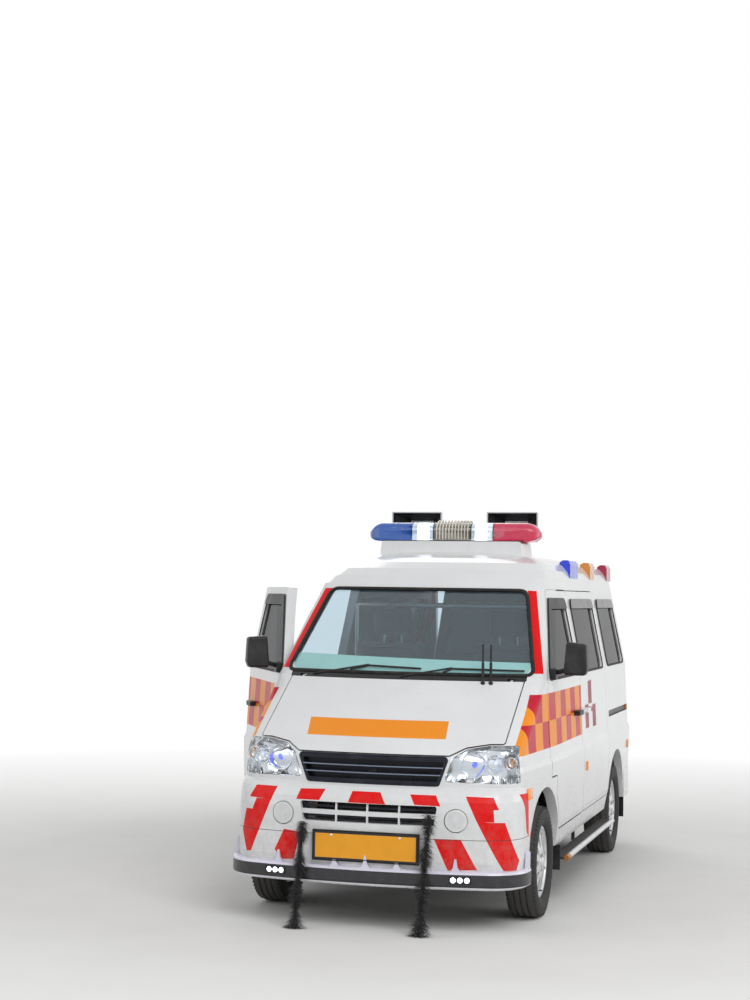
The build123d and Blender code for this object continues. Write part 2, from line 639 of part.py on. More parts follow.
def grille():
    """Upper grille with two cross bars, and the mesh behind the bumper's inlet."""
    frame = overlap(layer(0, 0.7), prism_y(GRILLE_OPENING, FRONT - 50, -1500, GRILLE_CORNER))
    inner = prism_y(GRILLE_OPENING, FRONT - 50, -1500, GRILLE_CORNER + 14, -GRILLE_RIM)
    slots = [block(-GRILLE_HALF, GRILLE_HALF, FRONT - 50, -1500, z + 5, z + GRILLE_PITCH - 5)
             for z in [GRILLE_BOTTOM + GRILLE_RIM + i * GRILLE_PITCH for i in range(GRILLE_SLOTS)]]
    for slot in slots:
        frame = cut(frame, overlap(inner, slot))
    back = overlap(layer(0.7, 0.8), prism_y(GRILLE_OPENING, FRONT - 50, -1500, GRILLE_CORNER, -6))
    frame = join(frame, back)
    lower = overlap(nose_loft(set_back(BUMPER_ROWS[1:4], BUMPER_WALL), 8), mouth_prism(5))
    pitch = (MOUTH_TOP - MOUTH_BOTTOM) / 4
    for i in range(4):
        z = MOUTH_BOTTOM + pitch * (i + 0.5)
        for x0, x1 in ((-300, -156), (-148, -4), (4, 148), (156, 300)):
            lower = cut(lower, block(x0, x1, FRONT - 50, -1600, z - 7, z + 7))
    return group(frame, lower)


def headlamps():
    return both(overlap(SHELL, prism_y(HEADLAMP, FRONT - 50, LAMP_BACK, LAMP_CORNER)))


def tail_lamps():
    return both(overlap(SHELL, tail_lamp_block()))


# Running gear

WHEEL_X = TRACK / 2
HUB_FACE = WHEEL_X + 40
KINGPIN_X = WHEEL_X - 88
KINGPIN_LEAN = 0.2
SPINDLE = 16.0


def revolve_x(points, x, y, z):
    """Turn an (offset along the axle, radius) outline about a wheel's axle."""
    face = Face(Wire.make_polygon([Vector(x + a, y, z + r) for a, r in points], close=True))
    return Solid.revolve(face, 360, Axis((x, y, z), (1, 0, 0)))


def tyre(y):
    w, r = TYRE_WIDTH / 2, TYRE_RADIUS
    profile = ((-w + 22, RIM_RADIUS), (w - 22, RIM_RADIUS), (w - 4, RIM_RADIUS + 28), (w, RIM_RADIUS + 48),
               (w - 6, r - 18), (w - 22, r - 2), (w - 34, r), (-w + 34, r), (-w + 22, r - 2),
               (-w + 6, r - 18), (-w, RIM_RADIUS + 48), (-w + 4, RIM_RADIUS + 28))
    return revolve_x(profile, WHEEL_X, y, HUB)


SPOKES = 10


def rim(y):
    w = TYRE_WIDTH / 2 - 22
    barrel = ((-w, RIM_RADIUS - SEAT_GAP), (-w, RIM_RADIUS - 14), (w - 14, RIM_RADIUS - 22), (w, RIM_RADIUS - 14),
              (w, RIM_RADIUS - SEAT_GAP))
    ring = revolve_x(barrel, WHEEL_X, y, HUB)
    face_in = HUB_FACE - WHEEL_X
    disc = revolve_x(((face_in, 0), (face_in, 70), (w - 22, RIM_RADIUS - 20), (w - 8, RIM_RADIUS - 20),
                      (face_in + 22, 60), (face_in + 22, 0)), WHEEL_X, y, HUB)
    for i in range(SPOKES):
        angle = 360 * (i + 0.5) / SPOKES
        slot = prism_x(((y - 9, HUB + 74), (y + 9, HUB + 74), (y + 27, HUB + 141), (y - 27, HUB + 141)),
                       WHEEL_X - 60, WHEEL_X + 120, 7)
        disc = cut(disc, turned(slot, (0, y, HUB), (1, 0, 0), angle))
    hub = revolve_x(((face_in - 58, SPINDLE + RUNNING_FIT), (face_in - 58, 92), (face_in, 92),
                     (face_in, SPINDLE + RUNNING_FIT)), WHEEL_X, y, HUB)
    disc = cut(disc, rod((WHEEL_X - 60, y, HUB), (HUB_FACE + 6, y, HUB), SPINDLE + RUNNING_FIT))
    return join(ring, disc, hub)


def kingpin(z):
    """A point on the left kingpin's leaning axis, at a height."""
    return (KINGPIN_X - (z - HUB) * KINGPIN_LEAN, FRONT_AXLE, z)


def knuckle():
    """The left front knuckle, with its spindle and its two kingpin ends."""
    y = FRONT_AXLE
    post = rod(kingpin(HUB - 80), kingpin(HUB + 62), 22)
    lower = rod(kingpin(HUB - 104), kingpin(HUB - 80), 11)
    upper = rod(kingpin(HUB + 62), kingpin(HUB + 92), 11)
    boss = rod((KINGPIN_X, y, HUB), (HUB_FACE - 60, y, HUB), 32)
    spindle = rod((HUB_FACE - 60, y, HUB), (HUB_FACE + 2, y, HUB), SPINDLE)
    arm = block(KINGPIN_X - 12, KINGPIN_X + 12, y, y + 116, HUB - 44, HUB - 24)
    return join(post, lower, upper, boss, spindle, arm)


def front_suspension():
    y = FRONT_AXLE
    socket = rod(kingpin(HUB - 104), kingpin(HUB - 60), 11 + RUNNING_FIT)
    eye = cut(rod(kingpin(HUB - 110), kingpin(HUB - 84), 22), socket)
    base = kingpin(HUB - 96)[0]
    reach = prism_z(((240, y - 30), (300, y - 30), (base - 14, y - 13), (base - 14, y + 13), (300, y + 74),
                     (240, y + 74)), HUB - 106, HUB - 86)
    reach = cut(reach, rod(kingpin(HUB - 140), kingpin(HUB - 60), 19))
    arm = join(eye, reach)
    strut = cut(rod(kingpin(HUB + 68), kingpin(660), 19), rod(kingpin(HUB + 50), kingpin(HUB + 92), 11 + RUNNING_FIT))
    seat = rod(kingpin(548), kingpin(556), 54)
    spring = cut(rod(kingpin(556), kingpin(660), 50), rod(kingpin(550), kingpin(670), 38))
    arch = rod((200, y, ARCH_CENTRE), (700, y, ARCH_CENTRE), ARCH_RADIUS)
    leg = overlap(join(strut, seat, spring), arch)
    member = join(block(-260, 260, y - 60, y + 90, HUB - 106, HUB - 50),
                  block(-250, -190, y - 40, y + 60, HUB - 50, CAB_FLOOR - 34),
                  block(190, 250, y - 40, y + 60, HUB - 50, CAB_FLOOR - 34),
                  rod((-400, y + 78, HUB - 62), (400, y + 78, HUB - 62), 14))
    return group(join(member, both(arm)), both(leg))


SPRING_X = 470.0
SPRING_REACH = 480.0
RAIL_BOTTOM = 520.0


def rear_axle():
    y = REAR_AXLE
    tube = rod((-HUB_FACE + 62, y, HUB), (HUB_FACE - 62, y, HUB), 32)
    ends = [rod((s * (HUB_FACE - 64), y, HUB), (s * (HUB_FACE + 2), y, HUB), SPINDLE) for s in (-1, 1)]
    plates = [rod((s * (HUB_FACE - 70), y, HUB), (s * (HUB_FACE - 64), y, HUB), 96) for s in (-1, 1)]
    housing = Solid.make_sphere(118).moved(Location((0, y, HUB)))
    housing = overlap(housing, block(-90, 90, y - 118, y + 118, HUB - 105, HUB + 112))
    nose = cone_rod((0, y - 190, HUB + 10), (0, y - 60, HUB + 10), 42, 74)
    axle = join(tube, housing, nose, *ends, *plates)
    for s in (-1, 1):
        x = s * SPRING_X
        leaf = prism_x(((y - SPRING_REACH, 392), (y, 314), (y + SPRING_REACH, 392), (y + SPRING_REACH, 412),
                        (y, 334), (y - SPRING_REACH, 412)), x - 27, x + 27)
        clamp = block(x - 34, x + 34, y - 60, y + 60, HUB + 20, 348)
        axle = join(axle, leaf, clamp)
        for end in (-1, 1):
            hanger = block(x - 20, x + 20, y + end * SPRING_REACH - 22, y + end * SPRING_REACH + 22, 384, RAIL_BOTTOM)
            axle = join(axle, hanger)
    return axle


def powertrain():
    engine = block(-250, 270, -640, -160, 250, 600)
    gearbox = join(engine, block(-120, 130, -160, 120, 220, 470))
    shaft = rod((0, 120, HUB + 10), (0, REAR_AXLE - 190, HUB + 10), 30)
    return join(gearbox, shaft)


EXHAUST_X = -330.0
SILENCER = 75.0


def exhaust():
    height = 352.0
    pipe = rod((-200, -160, 300), (-200, 700, 300), 20)
    bend = rod((-200, 690, 300), (EXHAUST_X, 880, height), 20)
    over = rod((EXHAUST_X, 870, height), (EXHAUST_X, 1440, height), 20)
    silencer = rod((EXHAUST_X, 1440, height), (EXHAUST_X, 1670, height), SILENCER)
    tail = rod((EXHAUST_X, 1660, height - 52), (EXHAUST_X, 1790, height - 96), 18)
    hangers = [rod((EXHAUST_X, y, height + reach), (EXHAUST_X, y, LOAD_FLOOR - 34), 6)
               for y, reach in ((900, 15), (1555, SILENCER - 4))]
    return join(pipe, bend, over, silencer, tail, *hangers)


# Floor, interior and fittings

TOE_BOARD = -1400.0
FLOOR_WALL = 34.0
SEAT_BOX_FRONT = -700.0
SEAT_BOX_REAR = -290.0
SEAT_BOX_TOP = 760.0
SILL_WALL = 20.0
SILL_TOP = 350.0
SILL_START = -800.0
JACK_WIDTH = 44.0
HOUSE_WALL = 14.0
FRONT_HOUSE_X = 370.0
REAR_HOUSE_X = 526.0
JACK_BOTTOM = 316.0
JACK_PLACES = (-500.0, 600.0)


def floor_pan():
    """Floor panels, seat box, rails, sills and wheel houses, each seated on its neighbours."""
    wide = HALF + 20
    inset = HALF - SIDE_WALL - 44
    edge = inset - SILL_WALL
    under_cab, under_load = CAB_FLOOR - FLOOR_WALL, LOAD_FLOOR - FLOOR_WALL
    tail = TAIL - SIDE_WALL - 30
    panels = [
        block(-inset, inset, TOE_BOARD + SEAT_GAP, SEAT_BOX_FRONT - SEAT_GAP, under_cab, CAB_FLOOR),
        block(-600, 600, TOE_BOARD - 20, TOE_BOARD, under_cab, 960),
        block(-inset, inset, SEAT_BOX_REAR + SEAT_GAP, SLIDE_REAR + 12, under_load, LOAD_FLOOR),
        block(-wide, wide, SLIDE_REAR + 12 + SEAT_GAP, tail, under_load, LOAD_FLOOR)]
    reach = edge - SEAT_GAP
    panels.append(join(
        block(-reach, reach, SEAT_BOX_FRONT, SEAT_BOX_FRONT + 30, under_cab, SEAT_BOX_TOP),
        block(-reach, reach, SEAT_BOX_FRONT, SEAT_BOX_REAR, SEAT_BOX_TOP - 20, SEAT_BOX_TOP),
        block(-reach, reach, SEAT_BOX_REAR - 30, SEAT_BOX_REAR, under_load, SEAT_BOX_TOP)))
    for s in (-1, 1):
        panels.append(block(s * (SPRING_X - 35), s * (SPRING_X + 35), SEAT_BOX_REAR - 30, tail - 30 - SEAT_GAP,
                            RAIL_BOTTOM, under_load - SEAT_GAP))
        panels.append(block(s * (SPRING_X - 35), s * (SPRING_X + 35), tail - 30, tail,
                            TAILGATE_BOTTOM - PANEL_GAP + SEAT_GAP, under_load - SEAT_GAP))
        sill = join(block(s * edge, s * inset, SEAT_BOX_FRONT, SLIDE_REAR + 12, SILL_TOP + SEAT_GAP,
                          under_load - SEAT_GAP),
                    block(s * edge, s * inset, SILL_START, SEAT_BOX_FRONT, SILL_TOP + SEAT_GAP,
                          under_cab - SEAT_GAP))
        flange = block(s * edge, s * wide, SILL_START, SLIDE_REAR + 12, SILL_TOP - 20, SILL_TOP)
        pads = [block(s * (inset - JACK_WIDTH), s * inset, y - 40, y + 40, JACK_BOTTOM, SILL_TOP - 18)
                for y in JACK_PLACES]
        panels.extend([sill, join(flange, *pads)])
    houses = []
    around = []
    for s in (-1, 1):
        for y, inner, outer in ((FRONT_AXLE, FRONT_HOUSE_X, inset - 8), (REAR_AXLE, REAR_HOUSE_X, wide)):
            solid = rod((s * inner, y, ARCH_CENTRE), (s * outer, y, ARCH_CENTRE), ARCH_RADIUS + HOUSE_WALL)
            below = block(s * (inner - 10), s * 900, y - 400, y + 400, 0, SILL_BOTTOM)
            hollow = rod((s * (inner + HOUSE_WALL), y, ARCH_CENTRE), (s * 900, y, ARCH_CENTRE), ARCH_RADIUS)
            houses.append(cut(solid, hollow, below))
            around.append(rod((s * (inner - SEAT_GAP), y, ARCH_CENTRE), (s * 900, y, ARCH_CENTRE),
                              ARCH_RADIUS + HOUSE_WALL + SEAT_GAP))
    pan = group(cut(group(*panels), *around), *houses)
    pan = overlap(pan, skin(SIDE_WALL, FRONT_WALL, SIDE_WALL, ROOF_WALL))
    rear = overlap(SHELL, block(-560, 560, 1500, REAR, SILL_BOTTOM, TAILGATE_BOTTOM - PANEL_GAP))
    closing = block(-560, 560, tail - 30, tail + 28, TAILGATE_BOTTOM - 60, TAILGATE_BOTTOM - PANEL_GAP)
    return group(pan, join(rear, closing))


def dashboard():
    profile = ((TOE_BOARD, 900), (-1150, 800), (-960, 780), (-900, 900), (-905, 1010), (-980, 1060), (-1090, 1075),
               (-1180, 1050), (TOE_BOARD, 955))
    return prism_x(profile, -600, 600)


def steering_wheel():
    rim_ring = Solid.make_torus(178, 14, Plane(origin=(-330, -800, 1010), z_dir=(0, 0.62, 0.78)))
    hub = Solid.make_cylinder(52, 40, Plane(origin=(-330, -818, 988), z_dir=(0, 0.62, 0.78)))
    spokes = []
    column = rod((-330, -905, 880), (-330, -818, 988), 30)
    for angle in (90, 210, 330):
        spoke = block(-10, 10, 40, 172, 8, 20)
        spokes.append(spoke.rotate(Axis.Z, angle).moved(Plane(origin=(-330, -806, 1002), z_dir=(0, 0.62, 0.78)).location))
    return cut(join(hub, column, rim_ring, *spokes), dashboard())


def front_seats():
    seats = []
    for x in (-330, 330):
        cushion = block(x - 225, x + 225, -690, -300, SEAT_BOX_TOP + SEAT_GAP, 870)
        cushion = cushion.fillet(30, cushion.edges().filter_by(Axis.Y))
        back = prism_x(((-330, 870 + SEAT_GAP), (-215, 870 + SEAT_GAP), (-165, 1300), (-250, 1310)), x - 215, x + 215, 25)
        head = block(x - 110, x + 110, -240, -160, 1330, 1480)
        head = head.fillet(28, head.edges().filter_by(Axis.X))
        stems = [rod((x + a, -200, 1280), (x + a, -200, 1350), 6) for a in (-50, 50)]
        seats.extend([cushion, join(back, head, *stems)])
    return group(*seats)


def partition():
    """Tube frame and rail behind the front seats."""
    posts = [rod((s * 560, -120, LOAD_FLOOR), (s * 560, -120, 1500), 14) for s in (-1, 1)]
    rails = [rod((-560, -120, z), (560, -120, z), 14) for z in (900, 1500)]
    return join(*posts, *rails)


STRETCHER_X = -290.0
STRETCHER_HALF = 230.0
STRETCHER_START = 20.0
STRETCHER_END = 1640.0
STRETCHER_LIFT = 260.0
STRETCHER_TUBE = 13.0
CASTOR = 59.0
CASTOR_WIDTH = 36.0
MATTRESS = 72.0


def stretcher():
    """Trolley frame on four castors, and its mattress."""
    sides = (STRETCHER_X - STRETCHER_HALF, STRETCHER_X + STRETCHER_HALF)
    start, end, tube = STRETCHER_START, STRETCHER_END, STRETCHER_TUBE
    slat = tube - 3
    z = LOAD_FLOOR + STRETCHER_LIFT
    rails = [rod((x, start, z), (x, end, z), tube) for x in sides]
    spacing = (end - start) / 3
    cross = [rod((sides[0], start + i * spacing, z), (sides[1], start + i * spacing, z), slat) for i in range(4)]
    legs = []
    for y in (start + 180, end - 240):
        for x in sides:
            legs.append(rod((x, y, z), (x, y, LOAD_FLOOR + CASTOR + 21), tube - 2))
            legs.append(rod((x - CASTOR_WIDTH / 2, y, LOAD_FLOOR + CASTOR), (x + CASTOR_WIDTH / 2, y, LOAD_FLOOR + CASTOR),
                            CASTOR))
    frame = join(*rails, *cross, *legs)
    inset = tube + 7
    top = z + slat + SEAT_GAP
    mattress = block(sides[0] + inset, sides[1] - inset, start + inset, end - inset, top, top + MATTRESS)
    mattress = mattress.fillet(MATTRESS / 3, mattress.edges().filter_by(Axis.Y))
    return group(frame, mattress)


def bench():
    base = block(300, 500, 60, 1500, LOAD_FLOOR, 800)
    cushion = block(280, 600, 60, 1500, 800 + SEAT_GAP, 870)
    cushion = cushion.fillet(20, cushion.edges().filter_by(Axis.Y))
    return group(base, cushion)


BAR_BASE_TOP = 1858.0
BAR_HALF = 493.0


def light_bar_base():
    base = prism_y(((-407, 1740), (407, 1740), (395, BAR_BASE_TOP), (-395, BAR_BASE_TOP)), -232, 70, 14)
    return cut(base, OUTER)


BAR_FRONT = -195.0
BAR_BACK = -35.0
BAR_TOP = 1963.0
BAR_SPLITS = (-230, -110, 110, 230)
BAR_HUMP = 62.0
BAR_HUMP_HALF = 95.0


def light_bar_lens():
    """Five lenses side by side, with bullet ends and a raised ribbed one in the middle."""
    depth = BAR_BACK - BAR_FRONT
    outline = ((-BAR_HALF, BAR_FRONT), (BAR_HALF, BAR_FRONT), (BAR_HALF, BAR_BACK), (-BAR_HALF, BAR_BACK))
    whole = prism_z(outline, BAR_BASE_TOP, BAR_TOP, depth / 2 - 1)
    whole = whole.fillet(46, whole.faces().sort_by(Axis.Z)[-1].edges())
    edges = (-BAR_HALF - 5, *BAR_SPLITS, BAR_HALF + 5)
    pieces = [overlap(whole, block(a, b, -300, 100, 1800, 2000)) for a, b in zip(edges, edges[1:])]
    middle = (BAR_FRONT + BAR_BACK) / 2
    hump = Solid.make_cylinder(BAR_HUMP, 2 * BAR_HUMP_HALF, Plane(origin=(-BAR_HUMP_HALF, middle, BAR_TOP - BAR_HUMP + 12), z_dir=(1, 0, 0)))
    pieces[2] = join(pieces[2], cut(hump, block(-120, 120, -300, 100, 1700, BAR_BASE_TOP + 40)))
    return group(*pieces)


HORN_X = 280.0
HORN_MOUTH = 100.0
HORN_TOP = 2036.0


def horn_speakers():
    horns = []
    for s in (-1, 1):
        x = s * HORN_X
        sections = ((HORN_MOUTH, 148, 85), (HORN_MOUTH + 22, 146, 83), (HORN_MOUTH + 60, 118, 68),
                    (HORN_MOUTH + 130, 74, 46), (HORN_MOUTH + 200, 52, 38))
        middle = HORN_TOP - 85
        wires = [Wire.make_polygon([Vector(x + a * w, y, middle + b * h) for a, b in ((-1, -1), (1, -1), (1, 1), (-1, 1))],
                                   close=True) for y, w, h in sections]
        bell = Solid.make_loft(wires, ruled=True)
        inner = [Wire.make_polygon([Vector(x + a * (w - 6), y - 1, middle + b * (h - 6))
                                    for a, b in ((-1, -1), (1, -1), (1, 1), (-1, 1))], close=True)
                 for y, w, h in sections[:4]]
        bell = cut(bell, Solid.make_loft(inner, ruled=True))
        driver = rod((x, HORN_MOUTH + 200, middle), (x, HORN_MOUTH + 290, middle), 48)
        foot = join(block(x - 30, x + 30, HORN_MOUTH + 150, HORN_MOUTH + 190, 1770, middle - 20),
                    block(x - 60, x + 60, HORN_MOUTH + 110, HORN_MOUTH + 230, 1770, 1806))
        horns.append(join(bell, driver, cut(foot, OUTER)))
    return group(*horns)


# columns: lamp's start and end along the van
SIDE_LAMPS = ((180, 450), (900, 1064), (1581, 1745))


def roof_side_lamps():
    lamps = []
    for start, end in SIDE_LAMPS:
        lamp = prism_y(((540, 1640), (602, 1664), (602, 1745), (590, 1767), (560, 1767), (540, 1755)), start, end, 8)
        lamps.append(cut(lamp, OUTER))
    return both(group(*lamps))


STEP_FRONT = -790.0


def side_steps():
    board = block(684, 758, STEP_FRONT, 818, 226, 240)
    edge = rod((760, STEP_FRONT, 235), (760, 818, 235), 14)
    legs = [join(block(660, 690, y - 12, y + 12, 226, 236), block(660, 676, y - 12, y + 12, 226, SILL_BOTTOM))
            for y in (-760, -40, 700)]
    return both(join(board, edge, *legs))


def side_visors():
    """Rain visors over the sliding doors' windows and round the quarter windows' tops."""
    below = block(200, 900, SLIDE_FRONT, TAIL, 1000, VISOR_BOTTOM)
    pieces = []
    for window in (SLIDE_WINDOW, QUARTER_WINDOW):
        outline = cut(prism_x(window, VISOR_INNER, 900, WINDOW_CORNER, VISOR_EDGE), below)
        pieces.append(overlap(VISOR_LAYER, outline))
    return both(group(*pieces))


def mud_flaps():
    flaps = [block(600, 728, FRONT_AXLE + 374, FRONT_AXLE + 380, 175, SILL_BOTTOM),
             block(600, 728, REAR_AXLE + 350, REAR_AXLE + 356, 175, SILL_BOTTOM)]
    return both(group(*flaps))


TASSEL = 28.0


def tassels():
    ropes = []
    for x0, z0, x1 in ((-300, 494, -332), (308, 553, 266)):
        x = x0 + (x1 - x0) / 2
        lip = GUARD_ROWS[4][2] + GUARD_ROWS[4][3] - math.sqrt(GUARD_ROWS[4][3] ** 2 - x * x)
        y = lip - TASSEL - 2 * SEAT_GAP
        ropes.append(rod((x0, y, z0), (x1, y, 15), TASSEL))
    return group(*ropes)


# columns: pivot x, elbow x, elbow height, tip x, tip height
WIPERS = ((-478, -183, 1204, 92, 1191), (-4, 248, 1198, 597, 1188))
WIPER_PIVOT_Z = 1152.0
WIPER_PIVOT = 5.0
WIPER_PROUD = 5.0
WIPER_ARM = 4.5
WIPER_LIFT = 16.0
AERIALS = (410, 448)
AERIAL_INSET = 15.0
AERIAL_TOP = 1319.0
AERIAL_SLEEVE_TOP = 1228.0
AERIAL_FOOT_TOP = BELT_HEIGHT - 6


def screen_y(x, z):
    """The windscreen's outer face at a place across and a height."""
    low, high = UPPER_ROWS[-2], UPPER_ROWS[-1]
    share = (z - low[0]) / (high[0] - low[0])
    nose = low[3] + (high[3] - low[3]) * share
    bow = low[4] + (high[4] - low[4]) * share
    return nose + bow - math.sqrt(bow * bow - x * x)


def wipers():
    """Two wipers parked on the screen's foot, low enough for the bonnet's edge to swing past."""
    pieces = []
    for x0, x1, z1, x2, z2 in WIPERS:
        y0 = screen_y(x0, WIPER_PIVOT_Z)
        knob = (x0, y0 - WIPER_PROUD, WIPER_PIVOT_Z)
        elbow = (x1, screen_y(x1, z1) - WIPER_LIFT, z1)
        tip = (x2, screen_y(x2, z2) - WIPER_LIFT + 3, z2)
        pivot = rod((x0, y0 + 25, WIPER_PIVOT_Z - 22), knob, WIPER_PIVOT)
        start = tuple(a + (b - a) * 0.35 for a, b in zip(knob, tip))
        blade_start = (start[0], screen_y(start[0], z2 - 12) - WIPER_LIFT + 3, z2 - 12)
        bend = (elbow[0], elbow[1] + 2, z1 - 4)
        blade = join(rod(blade_start, bend, 5), rod(bend, tip, 5))
        pieces.append(cut(join(pivot, rod(knob, elbow, WIPER_ARM), blade), OUTER))
    return group(*pieces)


def bonnet_aerials():
    """Two stub aerials that stand on the bonnet's rear edge and open with it."""
    pieces = []
    for x in AERIALS:
        y = BONNET_REAR + COWL_BOW - math.sqrt(COWL_BOW ** 2 - x ** 2) - AERIAL_INSET
        foot = rod((x, y, AERIAL_FOOT_TOP - 40), (x, y, AERIAL_FOOT_TOP), 11)
        sleeve = rod((x, y, AERIAL_FOOT_TOP - 20), (x, y, AERIAL_SLEEVE_TOP), 7)
        mast = rod((x, y, AERIAL_SLEEVE_TOP - 5), (x, y, AERIAL_TOP), 5)
        pieces.append(cut(join(foot, sleeve, mast), OUTER))
    return group(*pieces)


NODES = {}


def build():
    left = side_left()
    NODES["side_left"] = left
    NODES["side_right"] = mirrored(left)
    NODES["front_panel"] = front_panel()
    NODES["roof"] = roof()
    NODES["bonnet"] = bonnet()
    NODES["tailgate"] = tailgate()
    NODES["tailgate_glass"] = tailgate_glass()
    NODES["windscreen"] = windscreen()
    NODES["fixed_side_glass"] = side_glass()
    slide = sliding_door()
    NODES["sliding_door_left"] = slide
    NODES["sliding_door_right"] = mirrored(slide)
    door_parts = {"front_door": front_door(), "door_glass": door_glass(), "door_trim": door_trim()}
    for name, shape in door_parts.items():
        NODES[name + "_left"] = shape
        NODES[name + "_right"] = turned(mirrored(shape), (-HINGE_X, HINGE_Y, 0), (0, 0, 1), DOOR_OPEN)
    NODES["front_bumper"] = front_bumper()
    NODES["front_guard"] = front_guard()
    NODES["rear_bumper"] = rear_bumper()
    NODES["grille"] = grille()
    NODES["headlamps"] = headlamps()
    NODES["tail_lamps"] = tail_lamps()
    NODES["knuckle_left"] = knuckle()
    NODES["knuckle_right"] = mirrored(knuckle())
    NODES["front_suspension"] = front_suspension()
    NODES["rear_axle"] = rear_axle()
    NODES["powertrain"] = powertrain()
    NODES["exhaust"] = exhaust()
    NODES["floor_pan"] = floor_pan()
    NODES["dashboard"] = dashboard()
    NODES["steering_wheel"] = steering_wheel()
    NODES["front_seats"] = front_seats()
    NODES["partition"] = partition()
    NODES["stretcher"] = stretcher()
    NODES["bench"] = bench()
    NODES["light_bar_base"] = light_bar_base()
    NODES["light_bar_lens"] = light_bar_lens()
    NODES["horn_speakers"] = horn_speakers()
    NODES["roof_side_lamps"] = roof_side_lamps()
    NODES["side_steps"] = side_steps()
    NODES["mud_flaps"] = mud_flaps()
    NODES["side_visors"] = side_visors()
    NODES["wipers"] = wipers()
    NODES["bonnet_aerials"] = bonnet_aerials()
    NODES["tassels"] = tassels()
    for place, y in (("front", FRONT_AXLE), ("rear", REAR_AXLE)):
        for shape, name in ((tyre(y), "tyre"), (rim(y), "rim")):
            NODES[name + "_" + place + "_left"] = group(shape)
            NODES[name + "_" + place + "_right"] = mirrored(shape)


build()
os.makedirs("parts", exist_ok=True)
for name, shape in NODES.items():
    export_step(shape, "parts/" + name + ".step")
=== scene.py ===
"""Finish, fittings and studio for a small van ambulance, built round its construction model.

The construction nodes keep their place. This script paints them, puts modelled lamps, wheels,
seats, light bar, mirrors and other fittings in place of the plain ones, and sets the studio.
All lengths are metres: +X is the van's left side, the front faces -Y, +Z is up.
"""

from __future__ import annotations

import json
import logging
import math
import random
from dataclasses import dataclass
from enum import Enum
from typing import Callable, Sequence

import bmesh
import bpy
from mathutils import Matrix, Vector
from mathutils.bvhtree import BVHTree

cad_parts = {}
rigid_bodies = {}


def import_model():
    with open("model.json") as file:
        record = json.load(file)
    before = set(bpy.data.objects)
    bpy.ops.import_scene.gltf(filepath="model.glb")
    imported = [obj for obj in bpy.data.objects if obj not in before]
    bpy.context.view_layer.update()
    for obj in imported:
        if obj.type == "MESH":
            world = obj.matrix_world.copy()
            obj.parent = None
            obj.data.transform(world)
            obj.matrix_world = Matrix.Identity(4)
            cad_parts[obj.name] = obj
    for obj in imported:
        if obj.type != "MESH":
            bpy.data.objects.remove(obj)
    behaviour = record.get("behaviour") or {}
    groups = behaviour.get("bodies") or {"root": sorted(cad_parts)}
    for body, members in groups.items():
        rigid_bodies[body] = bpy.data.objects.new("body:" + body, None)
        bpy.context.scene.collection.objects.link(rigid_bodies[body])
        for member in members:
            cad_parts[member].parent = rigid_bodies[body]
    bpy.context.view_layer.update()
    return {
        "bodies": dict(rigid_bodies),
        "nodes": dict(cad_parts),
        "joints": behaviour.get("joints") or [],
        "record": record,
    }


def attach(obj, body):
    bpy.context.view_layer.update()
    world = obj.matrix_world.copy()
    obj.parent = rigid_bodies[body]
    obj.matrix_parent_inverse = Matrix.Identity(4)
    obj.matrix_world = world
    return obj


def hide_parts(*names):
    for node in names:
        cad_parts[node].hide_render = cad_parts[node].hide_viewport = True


LOG = logging.getLogger("ambulance")

Colour = tuple[float, float, float]
Point = tuple[float, float, float]
Pair = tuple[float, float]
Outline = tuple[Pair, ...]
Number = "Flow | float"


# Shader expressions


class Flow:
    """One socket of a shader tree, with arithmetic that adds Math nodes."""

    def __init__(self, net: "Net", socket: bpy.types.NodeSocket) -> None:
        """Wrap a socket.

        Args:
            net: The tree that the socket is in.
            socket: The output socket.
        """
        self.net = net
        self.socket = socket

    def _math(self, operation: str, *values: Number) -> "Flow":
        """Add a Math node."""
        return self.net.node("ShaderNodeMath", {"operation": operation}, dict(enumerate(values)))

    def __add__(self, other: Number) -> "Flow":
        """Sum."""
        return self._math("ADD", self, other)

    __radd__ = __add__

    def __sub__(self, other: Number) -> "Flow":
        """Difference."""
        return self._math("SUBTRACT", self, other)

    def __rsub__(self, other: Number) -> "Flow":
        """Difference, reflected."""
        return self._math("SUBTRACT", other, self)

    def __mul__(self, other: Number) -> "Flow":
        """Product."""
        return self._math("MULTIPLY", self, other)

    __rmul__ = __mul__

    def __truediv__(self, other: Number) -> "Flow":
        """Quotient."""
        return self._math("DIVIDE", self, other)

    def __abs__(self) -> "Flow":
        """Size without sign."""
        return self._math("ABSOLUTE", self)

    def __gt__(self, other: Number) -> "Flow":
        """One where greater, else nought."""
        return self._math("GREATER_THAN", self, other)

    def __lt__(self, other: Number) -> "Flow":
        """One where less, else nought."""
        return self._math("LESS_THAN", self, other)

    def __and__(self, other: Number) -> "Flow":
        """Both masks."""
        return self._math("MINIMUM", self, other)

    def __or__(self, other: Number) -> "Flow":
        """Either mask."""
        return self._math("MAXIMUM", self, other)

    def __mod__(self, other: Number) -> "Flow":
        """Remainder, never negative."""
        return self._math("FLOORED_MODULO", self, other)

    def power(self, other: Number) -> "Flow":
        """Power."""
        return self._math("POWER", self, other)

    def sine(self) -> "Flow":
        """Sine of an angle in radians."""
        return self._math("SINE", self)

    def fit(self, low: float, high: float, out_low: float = 0.0, out_high: float = 1.0) -> "Flow":
        """Map a range to another, clamped.

        Args:
            low: Start of the range read.
            high: End of the range read.
            out_low: Value at the start.
            out_high: Value at the end.

        Returns:
            The mapped value.
        """
        limits = {0: self, 1: low, 2: high, 3: out_low, 4: out_high}
        return self.net.node("ShaderNodeMapRange", {"clamp": True}, limits)

    def within(self, low: Number, high: Number) -> "Flow":
        """Mask of values between two limits."""
        return (self > low) & (self < high)


